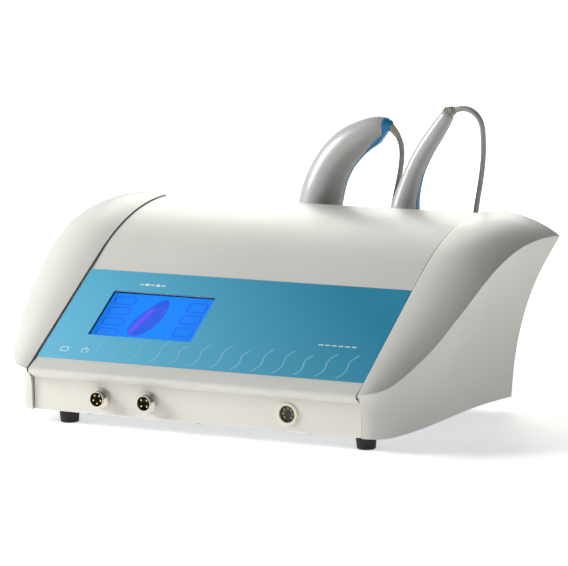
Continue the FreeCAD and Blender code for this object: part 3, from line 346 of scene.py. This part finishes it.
rubberFinish = mouldedPlastic("footRubber", tint(34, 33, 32), tint(22, 22, 22), (0.6, 0.8), 600.0, 0.00006)
reliefFinish = mouldedPlastic("reliefRubber", tint(172, 166, 152), tint(156, 150, 138), (0.5, 0.62), 600.0)
nickelFinish = workedMetal("nickelPlate", tint(214, 210, 202), (0.16, 0.3))
zincFinish = workedMetal("zincSheet", tint(176, 180, 184), (0.32, 0.5), scale=60.0)
steelFinish = workedMetal("polishedSteel", tint(222, 222, 222), (0.08, 0.16))
brightFinish = workedMetal("brightWire", tint(202, 204, 206), (0.2, 0.32))
alloyFinish = workedMetal("castAlloy", tint(160, 163, 166), (0.42, 0.6), scale=500.0, depth=0.00008)
brassFinish = workedMetal("brassPost", tint(206, 172, 98), (0.22, 0.36))
goldFinish = workedMetal("contactMetal", tint(220, 192, 120), (0.18, 0.28))


def circuitBoard():
    finish = Finish("circuitBoard", Coat_Weight=0.3)
    tracks = finish.node("ShaderNodeTexBrick", links={
        "Vector": finish.place(), "Scale": 160.0, "Mortar Size": 0.06, "Color1": tint(22, 92, 58),
        "Color2": tint(16, 74, 48), "Mortar": tint(64, 138, 92)})
    finish.feed("Base Color", tracks)
    finish.feed("Roughness", finish.ranged(finish.grain(80.0), 0.3, 0.5))
    return finish.bump(finish.grain(900.0), 0.00005, 0.4)


def windingTape():
    finish = Finish("windingTape")
    bands = finish.node("ShaderNodeTexWave", dict(bands_direction="Z"), {
        "Vector": finish.place(), "Scale": 260.0, "Distortion": 1.0})
    finish.feed("Base Color", finish.between(bands, tint(206, 168, 52), tint(170, 132, 34)))
    finish.feed("Roughness", finish.ranged(finish.grain(90.0), 0.3, 0.5))
    return finish.bump(bands, 0.0001, 0.5)


def cordJacket():
    finish = Finish("cordJacket")
    cloud = finish.grain(120.0, 4.0)
    finish.feed("Base Color", finish.between(finish.ranged(cloud, 0.0, 1.0),
                                             tint(140, 139, 135), tint(152, 151, 147)))
    finish.feed("Roughness", finish.ranged(finish.grain(300.0), 0.48, 0.62))
    return finish.bump(finish.grain(1500.0), 0.00003, 0.4)


boardFinish = circuitBoard()
tapeFinish = windingTape()
jacketFinish = cordJacket()


def overlayFilmWithPaintedShade():
    # printed blue film with painted shade: its tone runs from painted light at the lower left to painted
    # shade at the right
    film = finishSet["overlay"]
    low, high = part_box("overlay")
    finish = Finish("overlayFilmWithPaintedShade", Specular_IOR_Level=0.12)
    place = finish.place()
    across = finish.node("ShaderNodeSeparateXYZ", links={0: place})
    upward = finish.node("ShaderNodeSeparateXYZ", links={0: place}, out=2)
    # painted shade across the film, darker towards the right and towards the top; the noise below adds random
    # tone
    paintedShadeBlend = (across - low.x) / (high.x - low.x) * 0.8 + (upward - low.z) / (high.z - low.z) * 0.34
    paintedShadeBlend = paintedShadeBlend + finish.grain(3.0, 1.0) * 0.08 - 0.02
    finish.feed("Base Color", finish.between(paintedShadeBlend, film["light"], film["dark"]))
    finish.feed("Roughness", finish.ranged(finish.grain(400.0), 0.36, 0.4))
    return finish.bump(finish.grain(1100.0), 0.00002, 0.3)


def screenGlow():
    # backlit picture: bright blue, a little deeper towards the rim
    glow = finishSet["screen"]
    low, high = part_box("display_pane")
    finish = Finish("displayGlow", Base_Color=(0.0, 0.02, 0.06, 1.0), Roughness=0.3,
                    Emission_Strength=glow["glow"])
    apart = finish.node("ShaderNodeSeparateXYZ", links={0: finish.place()})
    across = (apart - (low.x + high.x) / 2) / ((high.x - low.x) / 2)
    deep = tuple(c * 0.82 for c in glow["colour"][:3]) + (1.0,)
    finish.feed("Emission Color", finish.between(across * across, glow["colour"], deep))
    return finish


def coverGlass():
    finish = Finish("coverGlass", Base_Color=(0.1, 0.3, 0.6, 1.0), IOR=1.5)
    finish.feed("Roughness", finish.ranged(finish.grain(50.0), 0.05, 0.12))
    finish.feed("Alpha", finish.ranged(finish.grain(30.0), 0.035, 0.05))
    return finish


overlayFinish = overlayFilmWithPaintedShade()
glowFinish = screenGlow()
glassFinish = coverGlass()

slotFinish = {
    "shell": shellFinish, "fascia": fasciaFinish, "gasket": gasketSealAndShadowLine, "zinc_sheet": zincFinish,
    "circuit_board": boardFinish, "cast_aluminium": alloyFinish, "brass_post": brassFinish,
    "zinc_screw": zincFinish, "winding_tape": tapeFinish, "overlay_print": overlayFinish,
    "glass_cover": glassFinish, "display_glow": glowFinish, "dark_plastic": darkFinish,
    "nickel": nickelFinish, "contact_metal": goldFinish, "ivory_plastic": ivoryFinish,
    "foot_rubber": rubberFinish, "bright_wire": brightFinish, "holder_plastic": holderFinish,
    "handpiece_shell": handFinish, "blue_plastic": blueFinish, "polished_steel": steelFinish,
    "relief_rubber": reliefFinish, "cord_jacket": jacketFinish}

for part in frame["record"]["subparts"]:
    mesh = nodes[part["node"]].data
    mesh.materials.clear()
    mesh.materials.append(slotFinish[part["material_slot"]].material)
print("finishes ready")


# ---- cords, with their reliefs and plugs

cordSet = dict(radius=2.8, coilRadius=33.0, coilY=337.0, stubZ=9.0, stubLength=28.0,
               layers=(2.8, 8.4, 14.0), columns=(30.2, 35.8), stepsPerTurn=16,
               bendLow=30.0, bendHigh=235.0)
largeCord = dict(tag="large", coilX=-32.0, sleeve=11.0, route=[
    (60.2, 322.6, 264.0), (64.0, 325.8, 258.0), (66.0, 329.4, 250.8), (65.9, 333.8, 242.0),
    (63.6, 338.6, 231.8), (59.8, 343.8, 220.2), (54.8, 349.4, 207.2), (48.8, 355.0, 192.6),
    (42.6, 360.4, 176.2), (37.0, 365.4, 157.4), (33.0, 369.6, 136.2), (30.8, 372.4, 113.6),
    (30.0, 373.8, 90.4), (30.0, 374.0, 67.5), (28.6, 373.2, 46.0), (24.6, 372.0, 28.5),
    (21.2, 371.2, 19.6), (14.5, 370.4, 12.7), (5.6, 370.0, 9.0), (-4.0, 370.0, 9.0)])
slimCord = dict(tag="slim", coilX=95.0, relief=8.5, route=[
    (129.0, 322.0, 284.6), (136.7, 322.0, 287.4), (144.9, 322.3, 286.9), (152.0, 323.2, 283.1),
    (156.8, 324.8, 276.6), (158.7, 327.3, 268.0), (157.9, 330.5, 257.2), (156.5, 334.5, 244.6),
    (153.5, 339.5, 230.2), (149.0, 345.2, 213.8), (143.2, 351.4, 195.8), (137.2, 357.7, 176.2),
    (132.6, 363.5, 155.2), (130.2, 368.2, 132.9), (130.8, 371.6, 109.5), (134.6, 373.6, 86.6),
    (140.6, 374.2, 65.2), (147.0, 373.5, 46.0), (150.0, 372.2, 28.5), (147.2, 371.2, 19.6),
    (140.6, 370.4, 12.7), (131.8, 370.0, 9.0), (123.0, 370.0, 9.0)])


def coilPoints(coilX):
    # inner column from the top down, then the outer one upwards; (angle, radius, height)
    low, middle, top = cordSet["layers"]
    inner, outer = cordSet["columns"]
    stops = [(112, inner, top), (360, inner, top), (410, inner, middle), (720, inner, middle),
             (770, inner, low), (1030, inner, low), (1080, outer, low), (1340, outer, low),
             (1390, outer, middle), (1688, outer, middle)]
    step = 360 / cordSet["stepsPerTurn"]
    points = []
    angle = stops[0][0]
    while angle <= stops[-1][0]:
        (a0, r0, z0), (a1, r1, z1) = next(pair for pair in zip(stops, stops[1:]) if angle <= pair[1][0])
        share = (angle - a0) / (a1 - a0)
        radius = (r0 + (r1 - r0) * share) / math.cos(math.radians(step / 2))
        turn = math.radians(angle)
        points.append((coilX + radius * math.cos(turn), cordSet["coilY"] + radius * math.sin(turn),
                       z0 + (z1 - z0) * share))
        angle += step
    return points


def cordSpline(cord):
    # the whole cord as one spline, from its relief to its plug
    coilX = cord["coilX"]
    endX = coilX + cordSet["stubLength"]
    plugY = cordSet["coilY"] - cordSet["coilRadius"]
    control = list(cord["route"])
    control += [(endX - 9.5, 369.9, 13.2), (endX - 19.0, 369.2, 14.2)]
    control += coilPoints(coilX)
    control += [(coilX + 6, plugY - 2.2, 8.4), (coilX + 17, plugY - 0.4, 8.9),
                (endX, plugY, cordSet["stubZ"])]
    curve = bpy.data.curves.new(cord["tag"] + "Line", "CURVE")
    curve.dimensions = "3D"
    curve.resolution_u = 6
    spline = curve.splines.new("NURBS")
    spline.points.add(len(control) - 1)
    for point, (x, y, z) in zip(spline.points, control):
        point.co = (*spot(x, y, z), 1.0)
    spline.order_u = 3
    spline.use_endpoint_u = True
    line = bpy.data.objects.new(cord["tag"] + "Line", curve)
    mesh = bpy.data.meshes.new_from_object(line)
    path = [v.co.copy() for v in mesh.vertices]
    bpy.data.objects.remove(line)
    return path


def tubeAlong(path, radii, sides=16):
    # a round tube along a path, carried round its bends without twist
    rows = []
    along = (path[1] - path[0]).normalized()
    across = along.orthogonal().normalized()
    for k, here in enumerate(path):
        ahead = (path[min(k + 1, len(path) - 1)] - path[max(k - 1, 0)]).normalized()
        across = along.rotation_difference(ahead) @ across
        across = (across - ahead * across.dot(ahead)).normalized()
        along = ahead
        other = along.cross(across)
        rows.append([here + (across * math.cos(2 * math.pi * s / sides)
                             + other * math.sin(2 * math.pi * s / sides)) * radii[k] for s in range(sides)])
    return stitched(rows)


def ribbedRelief(cord):
    # tapered boot with moulded ribs, in line with the cord's first run
    start, nextPoint = spot(*cord["route"][0]), spot(*cord["route"][1])
    along = (start - nextPoint).normalized()
    length = cord["relief"]
    ribs = 4
    profile = [(-2.4, 3.0), (-2.0, 3.5), (-0.5, 3.7)]
    for k in range(ribs):
        base = k * length / ribs
        swell = 4.5 + 1.5 * (k + 1) / ribs
        for share, radius in ((0.04, swell - 1.2), (0.16, swell - 0.2), (0.3, swell), (0.66, swell),
                              (0.8, swell - 0.2), (0.94, swell - 1.2)):
            profile.append((base + share * length / ribs, radius))
    profile += [(length + 0.6, 5.2), (length + 2.4, 4.6)]
    return turned(profile, start, along, 40)


def smoothRelief(cord, path):
    # thin moulded sleeve that follows the cord's first bend
    sleeve, walked = [], 0.0
    for a, b in zip(path, path[1:]):
        sleeve.append(a)
        walked += (b - a).length / mm
        if walked > cord["sleeve"]:
            break
    behind = path[0] + (path[0] - path[1]).normalized() * 4 * mm
    sleeve = [behind] + sleeve
    last = len(sleeve) - 1
    return tubeAlong(sleeve, [(3.9 - 0.8 * k / last) * mm for k in range(last + 1)], 24)


def cordPlug(cord):
    # turned plug with a knurled ring, lying beside the coil
    base = spot(cord["coilX"] + cordSet["stubLength"], cordSet["coilY"] - cordSet["coilRadius"],
                cordSet["stubZ"])
    profile = [(0, 3.1), (0.4, 3.7), (8.2, 6.6), (9.0, 7.4), (9.6, 7.6), (18.6, 7.6), (19.2, 7.2),
               (19.8, 7.2), (20.2, 8.6), (20.8, 8.9)]
    profile += [(20.8 + 0.9 * k, 8.9) for k in range(1, 14)]
    profile += [(33.4, 8.6), (33.6, 7.9), (35.4, 7.9), (36.0, 7.6), (36.0, 6.6), (28.0, 6.6)]

    def knurl(along, radius, angle):
        return 0.14 * math.cos(angle * 36) if 20.9 < along < 32.9 and radius > 8.8 else 0.0

    points, faces = turned(profile, base, (1, 0, 0), 144, knurl)
    plug = addPiece(cord["tag"] + "PlugShell", points, faces, nickelFinish, "nickel", "console", 40,
                    ["plug_shells"])
    parts = [turned([(26, 5.0), (27, 6.3), (34.2, 6.3), (34.8, 5.9)], base, (1, 0, 0), 40)]
    core = addPiece(cord["tag"] + "PlugCore", *joined(parts), darkFinish, "dark_plastic", "console", 40,
                    ["plug_cores"])
    pins = []
    for k in range(4):
        angle = math.pi * (k + 0.5) / 2
        foot = base + Vector((0.030, 0.0036 * math.sin(angle), 0.0036 * math.cos(angle)))
        pins.append(turned([(0, 0.8), (4.6, 0.8), (5.2, 0.5), (5.3, 0.1)], foot, (1, 0, 0), 16))
    contacts = addPiece(cord["tag"] + "PlugPins", *joined(pins), goldFinish, "contact_metal", "console", 40)
    return [plug, core, contacts]


def makeCord(cord):
    path = cordSpline(cord)
    points, faces = tubeAlong(path, [cordSet["radius"] * mm] * len(path))
    tag = cord["tag"]
    piece = addPiece(tag + "CordJacket", points, faces, jacketFinish, "cord_jacket", None, 60)
    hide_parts(tag + "_cord", tag + "_coil")
    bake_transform(piece)
    plugs = cordPlug(cord)
    relief = ribbedRelief(cord) if "relief" in cord else smoothRelief(cord, path)
    addPiece(tag + "Relief", *relief, reliefFinish, "relief_rubber", tag + "_handpiece", 50,
             [tag + "_strain_relief"])


makeCord(largeCord)
makeCord(slimCord)


# ---- handpieces

largeHand = dict(tag="large", holderY=322.0, depth=0.92, steps=8, line=[
    (-27.0, 122.0, 29.0), (-27.0, 138.0, 28.0), (-25.4, 160.0, 25.2), (-21.7, 181.5, 23.6),
    (-17.0, 199.0, 22.6), (-9.7, 216.8, 21.0), (1.2, 233.4, 19.7), (14.6, 246.4, 18.2),
    (28.6, 256.2, 16.0), (42.0, 263.4, 12.8), (52.0, 266.6, 9.4), (57.0, 266.8, 5.8)],
    # distance back from the tip, half angle of the blue inlay there, and how proud it stands
    inlay=[(0, 180, 0.5), (7, 180, 0.6), (9, 120, 0.7), (11, 46, 0.8), (15, 32, 1.9), (21, 31, 3.0),
           (28, 28, 2.5), (36, 20, 1.2), (48, 12, 0.5), (80, 7, 0.35), (112, 2, 0.1)])
slimHand = dict(tag="slim", holderY=322.0, depth=0.92, steps=8, line=[
    (72.0, 122.0, 21.0), (72.0, 138.0, 19.6), (72.6, 160.0, 17.4), (74.4, 181.4, 15.4),
    (78.3, 199.0, 12.6), (86.0, 221.5, 10.4), (96.6, 241.6, 9.7), (109.0, 260.0, 8.9),
    (117.0, 271.6, 8.0), (122.0, 278.8, 7.0)],
    inlay=[(44, 2, 0.1), (58, 7, 0.3), (82, 14, 0.5), (110, 22, 0.6), (136, 26, 0.6), (152, 4, 0.2)])


def handLine(hand):
    # smooth sections of the grip: centre, side, half width and distance back from the tip
    line = smoothLine(hand["line"], hand["steps"])
    tip, before = line[-1], line[-3]
    ahead = Vector((tip.x - before.x, tip.y - before.y, 0)).normalized()
    for share in (0.30, 0.55, 0.78, 0.93, 1.0):
        line.append(Vector((tip.x + ahead.x * tip.z * 0.75 * share, tip.y + ahead.y * tip.z * 0.75 * share,
                            tip.z * math.sqrt(max(1 - share * share, 0.0012)))))
    sections = []
    for k, here in enumerate(line):
        a, b = line[max(k - 1, 0)], line[min(k + 1, len(line) - 1)]
        along = Vector((b.x - a.x, b.y - a.y)).normalized()
        sections.append([spot(here.x, hand["holderY"], here.y), Vector((along.y, 0, -along.x)), here.z, 0.0])
    for k in range(len(sections) - 2, -1, -1):
        step = (sections[k + 1][0] - sections[k][0]).length / mm
        sections[k][3] = sections[k + 1][3] + step
    return sections


def onOval(section, hand, angle, out):
    centre, side, half, _ = section
    deep = Vector((0, 1, 0))
    return centre + (side * math.cos(angle) * (half + out)
                     + deep * math.sin(angle) * (half * hand["depth"] + out)) * mm


def tableValue(table, place, column):
    if place <= table[0][0]:
        return table[0][column]
    for a, b in zip(table, table[1:]):
        if place <= b[0]:
            share = (place - a[0]) / (b[0] - a[0])
            share = share * share * (3 - 2 * share)
            return a[column] + (b[column] - a[column]) * share
    return table[-1][column]


def makeHand(hand):
    tag = hand["tag"]
    sections = handLine(hand)
    body = tag + "_handpiece"
    half = 30
    for name, first, last, node in (("RearShell", 0.0, math.pi, "_rear_shell"),
                                    ("FrontShell", math.pi, 2 * math.pi, "_front_shell")):
        rows = []
        for section in sections:
            edge = 1.1 / max(section[2], 1.0)          # width of the rounded edge, as an angle
            angles = [first + 0.012, first + 0.012] + [first + edge * s for s in (0.25, 0.6, 1.0)]
            angles += [first + edge + (math.pi - 2 * edge) * k / half for k in range(1, half)]
            angles += [last - edge * s for s in (1.0, 0.6, 0.25)] + [last - 0.012, last - 0.012]
            outs = [-1.8, -0.55, -0.28, -0.07, 0.0] + [0.0] * (half - 1) + [0.0, -0.07, -0.28, -0.55, -1.8]
            shrink = min(1.0, section[2] / 6.0)
            rows.append([onOval(section, hand, a, o * shrink) for a, o in zip(angles, outs)])
        points, faces = stitched(rows, closed=False, caps=False)
        addPiece(tag + name, points, faces, handFinish, "handpiece_shell", body, 50, [tag + node])
    reach = [s for s in sections if hand["inlay"][0][0] - 0.5 <= s[3] <= hand["inlay"][-1][0]]
    rows = []
    for section in reach:
        wide = math.radians(tableValue(hand["inlay"], section[3], 1))
        proud = tableValue(hand["inlay"], section[3], 2)
        row = []
        for k in range(33):
            share = -1 + 2 * k / 32
            lift = proud * (1 - abs(share) ** 6) - 0.35 * abs(share) ** 12
            lift += 0.25 if wide > 2.6 else 0.0
            row.append(onOval(section, hand, share * wide, lift))
        rows.append(row)
    points, faces = stitched(rows, closed=False, caps=False)
    addPiece(tag + "BlueInlay", points, faces, blueFinish, "blue_plastic", body, 60, [tag + "_blue_inlay"])


makeHand(largeHand)
makeHand(slimHand)
print("handpieces ready")


# ---- sockets, ring, feet

socketSet = dict(x=(-102.0, -50.0), z=30.0, radius=8.0, bore=6.8, flange=10.0)


def makeSockets():
    shells = []
    for x in socketSet["x"]:
        base = spot(x, 0.0, socketSet["z"])
        bore, rim, flange = socketSet["bore"], socketSet["radius"], socketSet["flange"]
        profile = [(0.0, flange - 0.3), (0.3, flange), (1.9, flange), (2.4, flange - 0.5), (2.4, rim + 0.1)]
        for k in range(5):
            profile += [(2.7 + k * 1.1, rim - 0.55), (3.25 + k * 1.1, rim)]
        profile += [(8.4, rim - 0.7), (8.6, rim - 0.05), (9.6, rim - 0.05), (10.0, rim - 0.4),
                    (10.0, bore + 0.2), (9.7, bore), (1.0, bore)]

        def notch(along, radius, angle):
            return -0.35 * max(0.0, math.cos(angle * 30)) ** 2 if radius > rim + 1.2 else 0.0

        points, faces = turned(profile, base, (0, -1, 0), 180, notch)
        shells.append((points, faces[:-2]))
    addPiece("socketBarrels", *joined(shells), nickelFinish, "nickel", "console", 32, ["socket_shells"])


footSet = dict(x=(-148.0, 174.0), y=(17.0, 215.0), height=13.0, radius=10.0)


def makeFeet():
    feet = []
    high, wide = footSet["height"], footSet["radius"]
    profile = [(2.4, 4.3), (0.25, 4.6), (0.0, 5.0), (0.0, wide * 0.82), (0.35, wide * 0.88),
               (1.2, wide * 0.91), (high - 2.0, wide * 0.99), (high - 0.6, wide),
               (high, wide - 0.5), (high, 2.0)]
    for x in footSet["x"]:
        for y in footSet["y"]:
            feet.append(turned(profile, spot(x, y, 0), (0, 0, 1), 56))
    addPiece("rubberFeet", *joined(feet), rubberFinish, "foot_rubber", "console", 40, ["feet"])


makeSockets()
makeFeet()
print("sockets and feet ready")


# ---- printed marks and the picture on the screen

panelSet = dict(slope=math.radians(32.8), thickness=0.6, screenX=-79.3, screenUp=68.4,
                width=113.8, height=65.0)
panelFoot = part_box("overlay")[0]


def onPanel(x, up, out):
    slope = panelSet["slope"]
    y = panelFoot.y / mm + panelSet["thickness"] * math.sin(slope)
    z = panelFoot.z / mm
    return Vector((x, y + up * math.cos(slope) - out * math.sin(slope),
                   z + up * math.sin(slope) + out * math.cos(slope))) * mm


def ribbon(line, width, out, thickness=0.05, closed=False):
    # a flat stroke along a line of (x, up) points
    flat = [Vector(p) for p in line]
    count = len(flat)
    rows = []
    for k, here in enumerate(flat):
        a = flat[(k - 1) % count] if closed else flat[max(k - 1, 0)]
        b = flat[(k + 1) % count] if closed else flat[min(k + 1, count - 1)]
        along = (b - a).normalized()
        side = Vector((-along.y, along.x)) * (width(k / (count - 1)) if callable(width) else width) / 2
        left, right = here + side, here - side
        rows.append([onPanel(*left, out), onPanel(*right, out),
                     onPanel(*right, out - thickness), onPanel(*left, out - thickness)])
    if closed:
        rows.append(rows[0])
    return stitched(rows, True, not closed)


def arcLine(x, up, across, high, first, last, count=24):
    # part of an ellipse as a line of points
    turns = [math.radians(first + (last - first) * k / count) for k in range(count + 1)]
    return [(x + across * math.cos(turn), up + high * math.sin(turn)) for turn in turns]


def roundedLine(x, up, width, height, radius, count=6):
    line = []
    for sx, sy, first in ((1, 1, 0), (-1, 1, 90), (-1, -1, 180), (1, -1, 270)):
        line += arcLine(x + sx * (width / 2 - radius), up + sy * (height / 2 - radius), radius, radius,
                        first, first + 90, count)
    return line


def disc(line, out, thickness=0.05):
    top = [onPanel(x, up, out) for x, up in line]
    foot = [onPanel(x, up, out - thickness) for x, up in line]
    return stitched([foot, top])


inkSet = dict(pale=tint(128, 192, 216), white=tint(236, 244, 246), deep=tint(2, 78, 206),
              shape=tint(20, 70, 190), violet=tint(72, 62, 205))


def printInk(name, colour, glow=0.0):
    finish = Finish(name, Roughness=0.4)
    cloud = finish.ranged(finish.grain(60.0, 3.0), 0.0, 1.0)
    worn = tuple(c * 0.88 for c in colour[:3]) + (1.0,)
    finish.feed("Base Color", finish.between(cloud, worn, colour))
    if glow:
        finish.feed("Emission Color", finish.between(cloud, worn, colour))
        finish.shader.inputs["Emission Strength"].default_value = glow
    return finish


motifSet = dict(count=15, first=-166.0, pitch=22.4, height=32.0, up=3.0, lean=0.36, swing=2.6, stroke=1.5)


def makeMarks():
    paleInk = printInk("paleInk", inkSet["pale"])
    whiteInk = printInk("whiteInk", inkSet["white"])
    out = panelSet["thickness"] + 0.06
    waves = []
    for k in range(motifSet["count"]):             # a row of leaning heat waves
        foot = motifSet["first"] + motifSet["pitch"] * k
        high = motifSet["height"] * (1.0 if k % 3 else 0.86)
        line = [(foot + motifSet["lean"] * high * t / 40 + motifSet["swing"] * math.sin(2 * math.pi * t / 40),
                 motifSet["up"] + high * t / 40) for t in range(41)]
        waves.append(ribbon(line, motifSet["stroke"], out))
    addPiece("heatWaves", *joined(waves), paleInk, "overlay_print", "console", 0)
    marks = [ribbon(roundedLine(-151.5, 13, 8, 6, 1.6), 0.8, out, closed=True),
             ribbon(arcLine(-128.5, 13, 3.4, 3.4, -60, 240), 0.8, out),
             ribbon([(-128.5, 13), (-128.5, 18)], 0.8, out)]
    for k in range(5):                             # a row of dashes above the screen
        marks.append(ribbon([(-112 + 6 * k, 112), (-107.6 + 6 * k, 112)], 3.2 if k % 2 else 1.6, out))
    for k in range(6):                             # and one above the waves' right end
        marks.append(ribbon([(112 + 7 * k, 46), (117 + 7 * k, 46)], 1.4, out))
    addPiece("smallMarks", *joined(marks), whiteInk, "overlay_print", "console", 0)


def makePicture():
    deepInk = printInk("pictureLines", inkSet["deep"], 0.9)
    shapeInk = printInk("pictureLeaf", inkSet["shape"], 0.9)
    violetInk = printInk("pictureShape", inkSet["violet"], 0.9)
    x, up = panelSet["screenX"], panelSet["screenUp"]
    wide, high = panelSet["width"], panelSet["height"]
    out = -3.2                                     # just above the display's pane
    stroke, corner = 1.7, 3.4
    tabs = []
    for k in range(4):
        tab = roundedLine(x - wide * 0.36, up + high * (0.35 - 0.235 * k), wide * 0.2, high * 0.16, corner)
        tabs.append(ribbon(tab, stroke, out, closed=True))
    for k in range(3):
        tab = roundedLine(x + wide * 0.36, up + high * (0.30 - 0.27 * k), wide * 0.18, high * 0.19, corner)
        tabs.append(ribbon(tab, stroke, out, closed=True))
    addPiece("pictureTabs", *joined(tabs), deepInk, "display_glow", "console", 0)
    # a plain leaning leaf with a paler bar and a ring on it
    lean = 0.28
    leaf, bar = [], []
    for turn in [2 * math.pi * k / 60 for k in range(60)]:
        rise = 27 * math.sin(turn)
        swell = 13.5 * (1 - 0.25 * math.sin(turn))
        leaf.append((x - 4 + math.cos(turn) * swell + rise * lean, up + 1 + rise))
    for turn in [2 * math.pi * k / 40 for k in range(40)]:
        rise = 21 * math.sin(turn)
        bar.append((x - 11 + math.cos(turn) * 4.2 + rise * lean, up - 4 + rise))
    addPiece("pictureLeaf", *disc(leaf, out - 0.02), shapeInk, "display_glow", "console", 0)
    shapes = [disc(bar, out + 0.04), ribbon(arcLine(x + 4, up + 12, 3.6, 2.8, 0, 350), 0.9, out + 0.04)]
    addPiece("pictureBar", *joined(shapes), violetInk, "display_glow", "console", 0)


makeMarks()
makePicture()
print("marks and picture ready")
